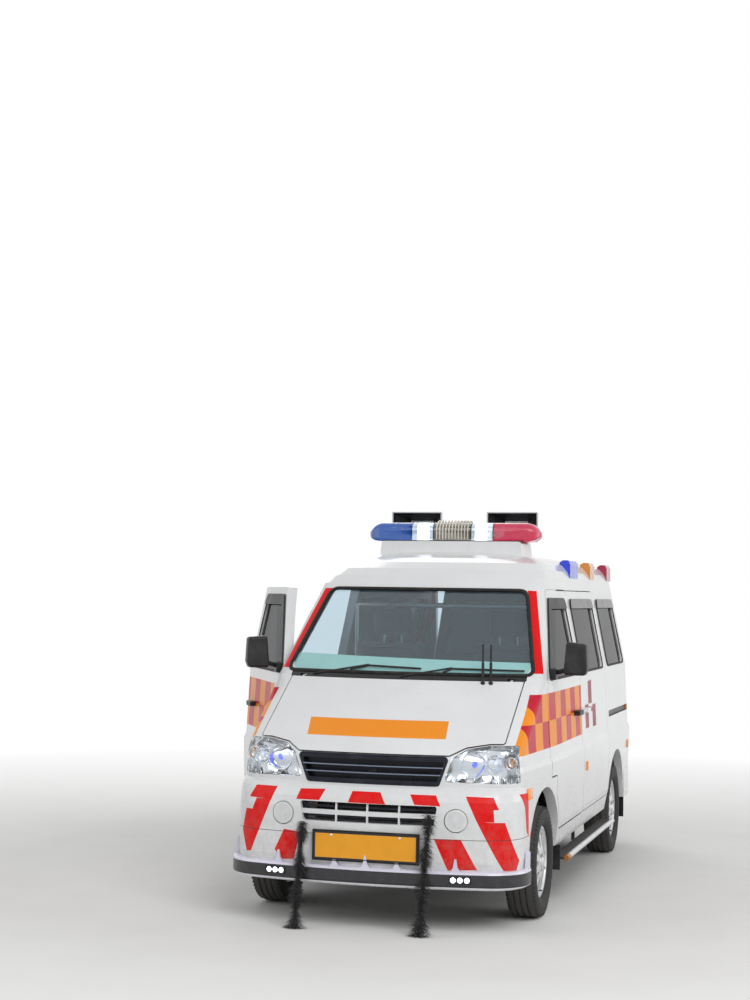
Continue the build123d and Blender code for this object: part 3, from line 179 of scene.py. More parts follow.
class Net:
    """The shader tree of a material or of the world."""

    def __init__(self, owner: bpy.types.Material | bpy.types.World) -> None:
        """Empty the tree.

        Args:
            owner: The material or world.
        """
        self.owner = owner
        owner.use_nodes = True
        self.tree = owner.node_tree
        self.tree.nodes.clear()

    def node(self, kind: str, settings: dict | None = None, inputs: dict | None = None,
             out: int | str | None = 0) -> Flow | None:
        """Add any node.

        Args:
            kind: The node's type.
            settings: Its own settings, set first.
            inputs: Values or links by socket name or number.
            out: The output returned, None for a node that has none.

        Returns:
            That output.
        """
        made = self.tree.nodes.new(kind)
        for key, value in (settings or {}).items():
            setattr(made, key, value)
        for key, value in (inputs or {}).items():
            socket = made.inputs[key]
            if isinstance(value, Flow):
                self.tree.links.new(value.socket, socket)
            elif socket.type == "RGBA":
                socket.default_value = (*value, 1.0)
            else:
                socket.default_value = value
        return None if out is None else Flow(self, made.outputs[out])

    def place(self, turn: float = 0.0, centre: Point = (0.0, 0.0, 0.0)) -> Flow:
        """Object coordinates, turned about an upright line.

        Args:
            turn: Angle in radians that brings the piece back to its closed place.
            centre: A point on the line.

        Returns:
            The vector.
        """
        spot = self.node("ShaderNodeTexCoord", out="Object")
        if not turn:
            return spot
        return self.node("ShaderNodeMapping", {"vector_type": "POINT"}, {
            "Vector": spot, "Location": turned(turn, centre).to_translation(), "Rotation": (0.0, 0.0, turn)})

    def axes(self, vector: Flow) -> tuple[Flow, Flow, Flow]:
        """The three parts of a vector."""
        parts = self.node("ShaderNodeSeparateXYZ", inputs={0: vector})
        return parts, Flow(self, parts.socket.node.outputs[1]), Flow(self, parts.socket.node.outputs[2])

    def noise(self, vector: Flow, scale: float, detail: float = 2.0, roughness: float = 0.5) -> Flow:
        """Cloudy noise, about nought to one."""
        return self.node("ShaderNodeTexNoise", None, {
            "Vector": vector, "Scale": scale, "Detail": detail, "Roughness": roughness})

    def stretched(self, vector: Flow, scale: Point, detail: float, roughness: float = 0.5) -> Flow:
        """Noise drawn out along an axis."""
        drawn = self.node("ShaderNodeMapping", None, {"Vector": vector, "Scale": scale})
        return self.noise(drawn, 1.0, detail, roughness)

    def mix(self, mask: Number, first: "Flow | Colour", second: "Flow | Colour") -> Flow:
        """Blend two colours by a mask.

        Args:
            mask: Nought gives the first and one the second.
            first: A colour.
            second: A colour.

        Returns:
            The blended colour.
        """
        return self.node("ShaderNodeMix", {"data_type": "RGBA"}, {0: mask, 6: first, 7: second}, out=2)

    def bump(self, height: Number, distance: float, strength: float = 1.0) -> Flow:
        """A bumped normal, from a height in units of a distance in metres."""
        return self.node("ShaderNodeBump", None, {
            "Height": height, "Distance": distance, "Strength": strength})

    def shader(self, **inputs: object) -> Flow:
        """A Principled shader, its inputs by socket name with underscores for spaces."""
        return self.node("ShaderNodeBsdfPrincipled", None, {
            key.replace("_", " "): value for key, value in inputs.items()})

    def close(self, shader: Flow, kind: str = "ShaderNodeOutputMaterial") -> bpy.types.Material:
        """Link a shader to the tree's output.

        Args:
            shader: The shader.
            kind: Type of the output node.

        Returns:
            What owns the tree.
        """
        self.node(kind, None, {"Surface": shader}, out=None)
        return self.owner

    def surface(self, **inputs: object) -> bpy.types.Material:
        """Close the tree with one Principled shader."""
        return self.close(self.shader(**inputs))


# Modelling

TIP = 1e-4
MERGE = 1e-5
MISSED = -3.9


def turned(angle: float, centre: Point, axis: str = "Z") -> Matrix:
    """A turn by an angle in radians about a line through a point."""
    return Matrix.Translation(centre) @ Matrix.Rotation(angle, 4, axis) @ Matrix.Translation(-Vector(centre))


def deselect() -> None:
    """Leave object mode with nothing selected."""
    if bpy.context.object is not None and bpy.context.object.mode != "OBJECT":
        bpy.ops.object.mode_set(mode="OBJECT")
    bpy.ops.object.select_all(action="DESELECT")


class Shaper:
    """One mesh as it is modelled, from a primitive to the finished piece."""

    def __init__(self, name: str) -> None:
        """Name the piece.

        Args:
            name: The piece's name.
        """
        self.name = name
        self.object: bpy.types.Object | None = None

    @classmethod
    def of_node(cls, frame: dict, node: str, name: str) -> "Shaper":
        """Start from a copy of a construction node, with its points merged.

        Args:
            frame: The loaded frame.
            node: The node.
            name: The piece's name.

        Returns:
            The shaper, in edit mode.
        """
        shape = cls(name)
        shape.object = copied(frame["nodes"][node], name, Matrix.Identity(4))
        shape.object.parent = None
        shape.object.hide_set(False)
        bpy.context.view_layer.objects.active = shape.object
        shape.object.select_set(True)
        bpy.ops.object.mode_set(mode="EDIT")
        bpy.ops.mesh.select_all(action="SELECT")
        bpy.ops.mesh.remove_doubles(threshold=MERGE)
        return shape

    def _start(self) -> "Shaper":
        """Take the new primitive and open it in edit mode, with its place in its mesh."""
        self.object = bpy.context.active_object
        self.object.name = self.name
        self.object.data.name = self.name
        bpy.ops.object.transform_apply(location=True, rotation=True, scale=True)
        bpy.ops.object.mode_set(mode="EDIT")
        bpy.ops.mesh.select_mode(type="FACE")
        return self

    def box(self, low: Point, high: Point) -> "Shaper":
        """Start from a box between two corners."""
        deselect()
        middle = [(a + b) / 2 for a, b in zip(low, high)]
        bpy.ops.mesh.primitive_cube_add(size=1.0, location=middle)
        bpy.context.active_object.scale = [abs(b - a) for a, b in zip(low, high)]
        return self._start()

    def disc(self, centre: Point, radius: float, axis: Point = (0, 0, 1), sides: int = 32,
             fill: str = "NGON") -> "Shaper":
        """Start from a disc or, with fill NOTHING, a ring of edges.

        Args:
            centre: Its centre.
            radius: Its radius.
            axis: The way it faces.
            sides: Number of corners.
            fill: NGON or NOTHING.

        Returns:
            This shaper.
        """
        deselect()
        turn = Vector(axis).to_track_quat("Z", "Y").to_euler()
        bpy.ops.mesh.primitive_circle_add(
            vertices=sides, radius=radius, fill_type=fill, location=centre, rotation=turn)
        return self._start()

    def plate(self, points: Sequence[Point]) -> "Shaper":
        """Start from a flat plate: a disc whose corners are moved to the outline.

        Args:
            points: The outline in order.

        Returns:
            This shaper.
        """
        self.disc((0.0, 0.0, 0.0), 0.1, sides=len(points))
        mesh = bmesh.from_edit_mesh(self.object.data)
        for vertex, point in zip(mesh.verts, points):
            vertex.co = point
        bmesh.update_edit_mesh(self.object.data)
        return self

    def lathe(self, centre: Point, axis: Point, profile: Sequence[Pair], sides: int = 48) -> "Shaper":
        """Turn a form: a ring is extruded and resized along its axis.

        Args:
            centre: The axis' origin.
            axis: The way it runs.
            profile: Pairs of place along the axis and radius. A radius of nought closes an end.
            sides: Number of sides.

        Returns:
            This shaper.
        """
        line = Vector(axis).normalized()
        start, radius = profile[0]
        before, size = start, max(radius, TIP)
        self.disc(Vector(centre) + line * start, size, axis, sides, "NOTHING")
        bpy.ops.mesh.select_mode(type="VERT")
        bpy.ops.mesh.select_all(action="SELECT")
        for place, radius in profile[1:]:
            bpy.ops.mesh.extrude_region_move(TRANSFORM_OT_translate={"value": line * (place - before)})
            target = max(radius, TIP)
            if abs(target - size) > 1e-7:
                self.scale((target / size,) * 3, Vector(centre) + line * place)
            before, size = place, target
        bpy.ops.mesh.select_all(action="SELECT")
        closed = min(profile[0][1], profile[-1][1]) < TIP
        bpy.ops.mesh.remove_doubles(threshold=2.5 * TIP if closed else MERGE)
        bpy.ops.mesh.normals_make_consistent(inside=False)
        bpy.ops.mesh.select_mode(type="FACE")
        return self

    def pick(self, test: Callable[[Vector, Vector], bool]) -> "Shaper":
        """Select the faces whose middle and normal pass a test."""
        bpy.ops.mesh.select_mode(type="FACE")
        mesh = bmesh.from_edit_mesh(self.object.data)
        for face in mesh.faces:
            face.select_set(False)
        for face in mesh.faces:
            if test(face.calc_center_median(), face.normal):
                face.select_set(True)
        bmesh.update_edit_mesh(self.object.data)
        return self

    def all(self) -> "Shaper":
        """Select everything."""
        bpy.ops.mesh.select_all(action="SELECT")
        return self

    def extrude(self, move: Point) -> "Shaper":
        """Extrude the selected faces by a move."""
        bpy.ops.mesh.extrude_region_move(TRANSFORM_OT_translate={"value": move})
        return self

    def inset(self, width: float) -> "Shaper":
        """Inset the selected faces."""
        bpy.ops.mesh.inset(thickness=width, depth=0.0, use_even_offset=True)
        return self

    def scale(self, factors: Point, centre: Point) -> "Shaper":
        """Resize what is selected about a point."""
        bpy.ops.transform.resize(value=factors, center_override=centre)
        return self

    def move(self, by: Point) -> "Shaper":
        """Move what is selected."""
        bpy.ops.transform.translate(value=by)
        return self

    def cut(self, cuts: int) -> "Shaper":
        """Subdivide what is selected."""
        bpy.ops.mesh.subdivide(number_cuts=cuts)
        return self

    def slice(self, point: Point, normal: Point) -> "Shaper":
        """Bisect everything by a plane."""
        self.all()
        bpy.ops.mesh.bisect(plane_co=point, plane_no=normal)
        return self

    def outwards(self) -> "Shaper":
        """Turn every face outwards."""
        self.all()
        bpy.ops.mesh.normals_make_consistent(inside=False)
        return self

    def remove(self) -> "Shaper":
        """Delete the selected faces."""
        bpy.ops.mesh.delete(type="FACE")
        return self

    def done(self, material: bpy.types.Material, angle: float = 35.0, bevel: float = 0.0,
             thickness: float = 0.0) -> bpy.types.Object:
        """Close the piece.

        Args:
            material: Its finish.
            angle: Edges sharper than this, in degrees, stay crisp.
            bevel: Width of a rounding on sharp edges.
            thickness: Wall given to an open surface, inwards.

        Returns:
            The finished object.
        """
        bpy.ops.object.mode_set(mode="OBJECT")
        thing = self.object
        if thickness:
            solid = thing.modifiers.new("wall", "SOLIDIFY")
            solid.thickness = thickness
            solid.offset = -1.0
            bpy.ops.object.modifier_apply(modifier=solid.name)
        if bevel:
            edge = thing.modifiers.new("edges", "BEVEL")
            edge.width = bevel
            edge.segments = 2
            edge.limit_method = "ANGLE"
            edge.angle_limit = math.radians(40)
            bpy.ops.object.modifier_apply(modifier=edge.name)
        bpy.ops.object.shade_smooth_by_angle(angle=math.radians(angle))
        thing.data.materials.clear()
        thing.data.materials.append(material)
        deselect()
        return thing


def tube(name: str, points: Sequence[Point], radius: float, material: bpy.types.Material,
         closed: bool = False) -> bpy.types.Object:
    """A round bar, wire or seal along points.

    Args:
        name: The piece's name.
        points: Its centreline.
        radius: Its radius.
        material: Its finish.
        closed: Whether the line closes.

    Returns:
        The mesh object.
    """
    deselect()
    curve = bpy.data.curves.new(name, "CURVE")
    curve.dimensions = "3D"
    spline = curve.splines.new("POLY")
    spline.points.add(len(points) - 1)
    for spot, point in zip(spline.points, points):
        spot.co = (*point, 1.0)
    spline.use_cyclic_u = closed
    curve.bevel_depth = radius
    curve.bevel_resolution = 3
    curve.use_fill_caps = not closed
    thing = bpy.data.objects.new(name, curve)
    bpy.context.scene.collection.objects.link(thing)
    bpy.context.view_layer.objects.active = thing
    thing.select_set(True)
    bpy.ops.object.convert(target="MESH")
    thing = bpy.context.active_object
    bpy.ops.object.shade_smooth_by_angle(angle=math.radians(50))
    thing.data.materials.clear()
    thing.data.materials.append(material)
    deselect()
    return thing


def joined(name: str, things: Sequence[bpy.types.Object]) -> bpy.types.Object:
    """Join several pieces into one."""
    deselect()
    for thing in things:
        thing.select_set(True)
    bpy.context.view_layer.objects.active = things[0]
    bpy.ops.object.join()
    whole = bpy.context.active_object
    whole.name = name
    whole.data.name = name
    deselect()
    return whole


def copied(thing: bpy.types.Object, name: str, change: Matrix) -> bpy.types.Object:
    """A copy with its own mesh, its change applied to the mesh.

    Args:
        thing: What is copied.
        name: The copy's name.
        change: Where it goes. A mirror turns its faces back outwards.

    Returns:
        The copy.
    """
    deselect()
    twin = thing.copy()
    twin.data = thing.data.copy()
    twin.name = name
    bpy.context.scene.collection.objects.link(twin)
    twin.data.transform(change)
    if change.determinant() < 0:
        twin.data.flip_normals()
    twin.data.update()
    return twin


MIRROR = Matrix.Scale(-1.0, 4, (1.0, 0.0, 0.0))


def seat(thing: bpy.types.Object, body: str, replaces: Sequence[str] = ()) -> None:
    """Put a finished piece on its body.

    Args:
        thing: The piece.
        body: The body that it rides on.
        replaces: Construction nodes that it stands for.
    """
    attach(thing, body)
    if replaces:
        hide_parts(*replaces)
    LOG.info("%s: %d faces on %s", thing.name, len(thing.data.polygons), body)


class Surface:
    """The outside of some construction nodes, on which pieces are seated."""

    def __init__(self, frame: dict, *names: str) -> None:
        """Gather the nodes.

        Args:
            frame: The loaded frame.
            names: The nodes' names.
        """
        points, faces = [], []
        for name in names:
            mesh = frame["nodes"][name].data
            start = len(points)
            points.extend(vertex.co.copy() for vertex in mesh.vertices)
            faces.extend(tuple(start + i for i in polygon.vertices) for polygon in mesh.polygons)
        self.tree = BVHTree.FromPolygons(points, faces)

    def hit(self, start: Point, way: Point) -> Vector:
        """The first place that a ray meets.

        Args:
            start: Where it starts, outside.
            way: The way that it runs.

        Returns:
            The place, or the start where nothing is met.
        """
        place = self.tree.ray_cast(Vector(start), Vector(way))[0]
        return Vector(start) if place is None else place

    def front(self, x: float, z: float) -> Vector:
        """The place seen from ahead."""
        return self.hit((x, -4.0, z), (0.0, 1.0, 0.0))

    def side(self, y: float, z: float) -> Vector:
        """The place seen from the left side."""
        return self.hit((3.0, y, z), (-1.0, 0.0, 0.0))

    def rear(self, x: float, z: float) -> Vector:
        """The place seen from behind."""
        return self.hit((x, 4.0, z), (0.0, -1.0, 0.0))


def rounded(corners: Sequence[Pair], radius: float, grow: float = 0.0, step: float = 0.03) -> list[Pair]:
    """Points round an outline with rounded corners.

    Args:
        corners: The outline's corners, in order.
        radius: Rounding of the corners.
        grow: Distance by which the outline is moved outwards from its middle.
        step: Largest distance between points.

    Returns:
        The points.
    """
    middle = Vector((sum(c[0] for c in corners), sum(c[1] for c in corners))) / len(corners)
    spots = [Vector(c) + (Vector(c) - middle).normalized() * grow * 1.35 for c in corners]
    found: list[Pair] = []
    for i, corner in enumerate(spots):
        before, after = spots[i - 1] - corner, spots[(i + 1) % len(spots)] - corner
        start, end = corner + before.normalized() * radius, corner + after.normalized() * radius
        for share in (0.0, 0.25, 0.5, 0.75, 1.0):
            spot = start * (1 - share) ** 2 + corner * 2 * share * (1 - share) + end * share ** 2
            found.append((spot.x, spot.y))
        run = after.length - 2 * radius
        parts = max(int(run / step), 1)
        for k in range(1, parts):
            spot = end + after.normalized() * (run * k / parts)
            found.append((spot.x, spot.y))
    return found


def dress(frame: dict, finish: bpy.types.Material, *names: str) -> None:
    """Give construction nodes a finish through their material slots."""
    for name in names:
        for place in frame["nodes"][name].material_slots:
            place.material = finish


# Finishes

WHITE: Colour = (0.78, 0.79, 0.80)
ORANGE: Colour = (0.90, 0.29, 0.014)
CRIMSON: Colour = (0.55, 0.008, 0.028)
RED: Colour = (0.78, 0.006, 0.008)
MAROON: Colour = (0.30, 0.012, 0.040)
DUST: Colour = (0.30, 0.26, 0.21)

# columns: x or y, z of each corner, in metres
BUMPER_REDS: tuple[Outline, ...] = (
    ((-0.572, 0.642), (-0.458, 0.642), (-0.484, 0.581), (-0.605, 0.585)),
    ((-0.564, 0.582), (-0.484, 0.582), (-0.506, 0.528), (-0.586, 0.528)),
    ((-0.624, 0.529), (-0.506, 0.529), (-0.590, 0.331), (-0.618, 0.327), (-0.650, 0.424), (-0.637, 0.480)),
    ((0.457, 0.634), (0.582, 0.631), (0.609, 0.576), (0.487, 0.576)),
    ((0.487, 0.577), (0.586, 0.577), (0.590, 0.520), (0.513, 0.520)),
    ((0.513, 0.521), (0.634, 0.517), (0.687, 0.339), (0.677, 0.295), (0.629, 0.297)),
    ((-0.335, 0.639), (-0.209, 0.643), (-0.235, 0.591), (-0.353, 0.590)),
    ((-0.075, 0.640), (0.060, 0.640), (0.089, 0.587), (-0.092, 0.588)),
    ((0.201, 0.636), (0.322, 0.635), (0.346, 0.587), (0.226, 0.590)),
    ((-0.412, 0.447), (-0.327, 0.439), (-0.358, 0.310), (-0.418, 0.305), (-0.460, 0.349)),
    ((0.319, 0.439), (0.441, 0.439), (0.516, 0.302), (0.383, 0.297)),
)
CORNER_REDS: tuple[Outline, ...] = (
    ((-1.643, 0.640), (-1.531, 0.637), (-1.440, 0.424), (-1.588, 0.569)),
    ((-1.588, 0.569), (-1.440, 0.424), (-1.500, 0.420), (-1.557, 0.459)),
)
PILLAR_TAPE = ((0.532, 1.589), (0.635, 1.175), (0.683, 1.175), (0.575, 1.587))
BONNET_BAND = ((-0.382, 0.956), (0.312, 0.957), (0.326, 0.881), (-0.360, 0.881))
DOOR_BARS: tuple[Outline, ...] = (
    ((0.165, 0.960), (0.290, 0.960), (0.290, 1.089), (0.165, 1.089)),
    ((0.045, 0.830), (0.165, 0.830), (0.165, 0.960), (0.045, 0.960)),
    ((0.300, 0.825), (0.420, 0.825), (0.420, 0.950), (0.300, 0.950)),
)
CHEQUER_SIDE = 0.147
CHEQUER_MIDDLE = 0.942
COWL_CENTRE = 0.4475
COWL_RADIUS = 1.7025
HUB_HEIGHT = 0.268
FRONT_AXLE = -1.1735
REAR_AXLE = 1.1765
# the sliding door's rail groove; Mark.GROOVE fills it near-black as painted shade
RAIL_GROOVE = ((0.931, 0.8415), (1.7865, 0.8415), (1.7865, 0.8785), (0.931, 0.8785))


class Mark(Enum):
    """Painted or taped areas of the body, and the rail groove, whose near-black fill is painted shade."""

    CHEQUER = "chequer"
    PILLAR = "pillar"
    BAND = "band"
    BARS = "bars"
    BUMPER = "bumper"
    GROOVE = "groove"
    COWL = "cowl"


def inside(across: Flow, up: Flow, corners: Sequence[Pair]) -> Flow:
    """Mask of a convex area.

    Args:
        across: The first coordinate.
        up: The second coordinate.
        corners: The area's corners in order, either way round.

    Returns:
        One inside and nought outside.
    """
    pairs = list(zip(corners, (*corners[1:], corners[0])))
    way = 1.0 if sum(a[0] * b[1] - b[0] * a[1] for a, b in pairs) > 0 else -1.0
    mask: Flow | None = None
    for (x0, y0), (x1, y1) in pairs:
        a, b = (y0 - y1) * way, (x1 - x0) * way
        test = (across * a + up * b) > a * x0 + b * y0
        mask = test if mask is None else mask & test
    return mask


def darker(colour: Colour, share: float) -> Colour:
    """A colour brought to a share of its brightness."""
    return tuple(part * share for part in colour)


@dataclass(frozen=True)
class Finish:
    """A named finish laid on Object coordinates."""

    name: str

    def start(self) -> tuple[Net, Flow]:
        """A new material's tree, and where on the van a spot is."""
        net = Net(bpy.data.materials.new(self.name))
        return net, net.place()


@dataclass(frozen=True)
class CoachPaint(Finish):
    """Gloss white coachwork paint with road dust, and the warning stripes."""

    marks: tuple[Mark, ...] = ()
    turn: float = 0.0
    centre: Point = (0.0, 0.0, 0.0)

    def stripes(self, net: Net, x: Flow, y: Flow, z: Flow, colour: Flow) -> tuple[Flow, Flow]:
        """Lay the stripes over the paint.

        Args:
            net: The tree.
            x: Distance from the middle, signed.
            y: Place along the van.
            z: Height.
            colour: The paint's colour.

        Returns:
            The new colour, and a mask of what isn't paint.
        """
        wide = abs(x)
        cover = wide < -1.0
        for mark in self.marks:
            if mark is Mark.CHEQUER:
                area = z.within(0.810, 1.078) & (y < -0.078) & (wide > 0.56)
                area = area & (y > (z - 0.934) / 0.634 - 1.455)
                even = (((y + 1.314) / CHEQUER_SIDE) % 2.0) < 1.0
                same = 1.0 - abs(even - (z > CHEQUER_MIDDLE))
                colour = net.mix(area, colour, net.mix(same, ORANGE, CRIMSON))
                cover = cover | area
            elif mark is Mark.COWL:
                bow = (y - COWL_CENTRE).power(2.0) + x.power(2.0)
                colour = net.mix((z > 1.0) & (bow < COWL_RADIUS ** 2), colour, (0.016, 0.016, 0.018))
            else:
                # GROOVE lays near-black in the rail groove: painted shade
                areas, first, tint = {
                    Mark.PILLAR: ((PILLAR_TAPE,), wide, RED), Mark.BAND: ((BONNET_BAND,), x, ORANGE),
                    Mark.BARS: (DOOR_BARS, y, MAROON), Mark.BUMPER: (BUMPER_REDS, x, RED),
                    Mark.GROOVE: ((RAIL_GROOVE,), y, (0.014, 0.014, 0.016))}[mark]
                area = inside(first, z, areas[0])
                for corners in areas[1:]:
                    area = area | inside(first, z, corners)
                if mark is Mark.BUMPER:
                    area = area & (y < -1.5)
                    for corners in CORNER_REDS:
                        area = area | (inside(y, z, corners) & (wide > 0.66))
                colour = net.mix(area, colour, tint)
                cover = cover | area
        return colour, cover

    def build(self) -> bpy.types.Material:
        """Make the material."""
        net = Net(bpy.data.materials.new(self.name))
        spot = net.place(self.turn, self.centre)
        x, y, z = net.axes(spot)
        cloud = net.noise(spot, 5.0, 4.0)
        colour = net.mix(cloud.fit(0.35, 0.65), WHITE, darker(WHITE, 0.955))
        colour, cover = self.stripes(net, x, y, z, colour)
        speck = net.noise(spot, 24.0, 6.0, 0.7)
        grime = z.fit(0.72, 0.22) * speck.fit(0.38, 0.72) * 0.42
        streak = net.stretched(spot, (30.0, 30.0, 2.0), 3.0)
        colour = net.mix(grime, colour, DUST)
        colour = net.mix(streak.fit(0.58, 0.80) * 0.06, colour, DUST)
        if Mark.BUMPER in self.marks:
            seam = z.within(0.4345, 0.4380)
            colour = net.mix(seam * 0.75, colour, (0.05, 0.05, 0.05))
        rough = cloud.fit(0.3, 0.7, 0.14, 0.22) + cover * 0.14 + grime * 0.6
        peel = net.noise(spot, 210.0, 1.0)
        edge = net.bump(peel + cover * 0.4, 0.0006, 0.22)
        return net.surface(Base_Color=colour, Roughness=rough, Normal=edge, Coat_Weight=(1.0 - cover) * 0.35,
                           Coat_Roughness=0.05, Specular_IOR_Level=0.4, IOR=1.28)


@dataclass(frozen=True)
class LipPaint(Finish):
    """The guard lip: white top with a lilac tint that is a painted reflection, black band and a thin bright
    line below.
    """

    name: str = "lip_paint"
    # white with a lilac tint: the lilac is a painted reflection
    pale: Colour = (0.70, 0.68, 0.80)

    def build(self) -> bpy.types.Material:
        """Make the material."""
        net, spot = self.start()
        _, _, z = net.axes(spot)
        band = z.within(0.2235, 0.2825)
        line = z < 0.2225
        cloud = net.noise(spot, 22.0, 5.0, 0.6)
        # the top's colour: white carrying the painted lilac reflection
        colour = net.mix(cloud.fit(0.3, 0.7), self.pale, darker(self.pale, 0.93))
        colour = net.mix(band, colour, (0.018, 0.018, 0.022))
        colour = net.mix(line, colour, (0.86, 0.87, 0.90))
        dusty = cloud.fit(0.5, 0.85) * band * 0.10
        grain = net.noise(spot, 420.0, 2.0)
        rough = cloud.fit(0.3, 0.7, 0.20, 0.34) + band * 0.12
        return net.surface(Base_Color=net.mix(dusty, colour, DUST), Roughness=rough, Coat_Weight=0.3,
                           Normal=net.bump(grain * (0.3 + band), 0.0005, 0.35))


@dataclass(frozen=True)
class Moulded(Finish):
    """Plastic, rubber or vinyl with a moulded grain and dust in it."""

    colour: Colour
    rough: float = 0.45
    grain: float = 500.0
    depth: float = 0.0004
    dust: float = 0.12
    leather: bool = False
    sheen: float = 0.0

    def build(self) -> bpy.types.Material:
        """Make the material."""
        net, spot = self.start()
        cloud = net.noise(spot, 9.0, 5.0, 0.6)
        pale = tuple(min(c * 1.35 + 0.004, 1.0) for c in self.colour)
        colour = net.mix(cloud.fit(0.35, 0.7), self.colour, pale)
        colour = net.mix(cloud.fit(0.5, 0.85) * self.dust, colour, DUST)
        if self.leather:
            height = net.node("ShaderNodeTexVoronoi", {"feature": "DISTANCE_TO_EDGE"}, {
                "Vector": spot, "Scale": self.grain}).fit(0.0, 0.18)
        else:
            height = net.noise(spot, self.grain, 3.0, 0.7)
        rough = cloud.fit(0.3, 0.7, self.rough - 0.06, self.rough + 0.08)
        return net.surface(Base_Color=colour, Roughness=rough, Normal=net.bump(height, self.depth, 0.5),
                           Sheen_Weight=self.sheen, IOR=1.3)


@dataclass(frozen=True)
class Metal(Finish):
    """Metal with fine scratches, drawn along one axis, and dirt."""

    colour: Colour = (0.62, 0.63, 0.64)
    rough: float = 0.28
    metallic: float = 1.0
    stretch: Point = (400.0, 8.0, 400.0)
    dirt: float = 0.1
    stain: Colour = DUST

    def build(self) -> bpy.types.Material:
        """Make the material."""
        net, spot = self.start()
        lines = net.stretched(spot, self.stretch, 3.0, 0.6)
        cloud = net.noise(spot, 12.0, 5.0, 0.65)
        spots = cloud.fit(0.48, 0.78) * self.dirt
        colour = net.mix(lines.fit(0.3, 0.7) * 0.5, self.colour, darker(self.colour, 0.82))
        rough = lines.fit(0.3, 0.7, self.rough - 0.07, self.rough + 0.09) + spots * 0.5
        return net.surface(Base_Color=net.mix(spots, colour, self.stain), Metallic=self.metallic - spots * 0.8,
                           Roughness=rough, Normal=net.bump(lines, 0.0003, 0.3))


def from_hub(y: Flow, z: Flow, axle: float) -> Flow:
    """Distance from a wheel's axle line."""
    return ((y - axle).power(2.0) + (z - HUB_HEIGHT).power(2.0)).power(0.5)


@dataclass(frozen=True)
class WheelPaint(Finish):
    """Silver painted alloy with speckled brake dust, and painted shade that darkens it deeper into the wheel.
    """

    axle: float

    def build(self) -> bpy.types.Material:
        """Make the material."""
        net, spot = self.start()
        x, y, z = net.axes(spot)
        out = from_hub(y, z, self.axle)
        speck = net.noise(spot, 60.0, 6.0, 0.7)
        # painted shade: darker deeper into the wheel, away from its outer face
        recess_shade = abs(x).fit(0.700, 0.655) * 0.5
        # speckled brake dust together with that painted shade
        dust = (speck.fit(0.35, 0.75) * 0.22 + recess_shade * 0.6) & 0.75
        ring = out.within(0.1495, 0.1510) * 0.5
        colour = net.mix(dust, (0.74, 0.75, 0.76), (0.10, 0.09, 0.08))
        colour = net.mix(ring, colour, (0.2, 0.2, 0.2))
        flake = net.noise(spot, 900.0, 1.0)
        rough = speck.fit(0.3, 0.7, 0.26, 0.42) + dust * 0.3
        return net.surface(Base_Color=colour, Metallic=0.55, Roughness=rough, Coat_Weight=0.4,
                           Normal=net.bump(flake, 0.0002, 0.25))


@dataclass(frozen=True)
class TyreRubber(Finish):
    """Tyre rubber with dusty tread, fine rings on its sidewall and scuffs."""

    axle: float

    def build(self) -> bpy.types.Material:
        """Make the material."""
        net, spot = self.start()
        _, y, z = net.axes(spot)
        out = from_hub(y, z, self.axle)
        cloud = net.noise(spot, 30.0, 6.0, 0.7)
        wear = out.fit(0.255, 0.268) * 0.55 + cloud.fit(0.45, 0.8) * 0.25
        colour = net.mix(wear & 0.8, (0.018, 0.018, 0.019), (0.085, 0.078, 0.070))
        rings = (out * 1400.0).sine() * out.within(0.185, 0.240)
        grain = net.noise(spot, 700.0, 2.0)
        normal = net.bump(rings * 0.5 + grain * 0.6, 0.0006, 0.5)
        return net.surface(Base_Color=colour, Roughness=cloud.fit(0.3, 0.7, 0.72, 0.9), Normal=normal)


@dataclass(frozen=True)
class SafetyGlass(Finish):
    """Window glass with a body tint, faint dust and, on the windscreen, a painted reflection: a turquoise band
    along its foot.
    """

    tint: Colour
    clear: float = 0.92
    dust: float = 0.05
    index: float = 1.45
    # colour of the painted reflection along the windscreen's foot
    reflection_band: Colour | None = None

    def build(self) -> bpy.types.Material:
        """Make the material."""
        net, spot = self.start()
        x, _, z = net.axes(spot)
        haze = net.noise(spot, 4.0, 5.0, 0.6)
        colour = net.mix(haze.fit(0.45, 0.85) * self.dust, self.tint, (0.45, 0.47, 0.46))
        glass = net.shader(Base_Color=colour, Roughness=haze.fit(0.4, 0.8, 0.0, 0.035), IOR=self.index,
                           Transmission_Weight=self.clear)
        if self.reflection_band is None:
            return net.close(glass)
        # painted reflection: a turquoise band laid over the windscreen's foot
        strip = z < 1.238 - x * 0.021
        tone = net.mix(haze.fit(0.35, 0.7), self.reflection_band, darker(self.reflection_band, 0.82))
        layer = net.shader(Base_Color=tone, Roughness=haze.fit(0.3, 0.7, 0.16, 0.26), Coat_Weight=0.6)
        return net.close(net.node("ShaderNodeMixShader", None, {0: strip * 0.9, 1: glass, 2: layer}))


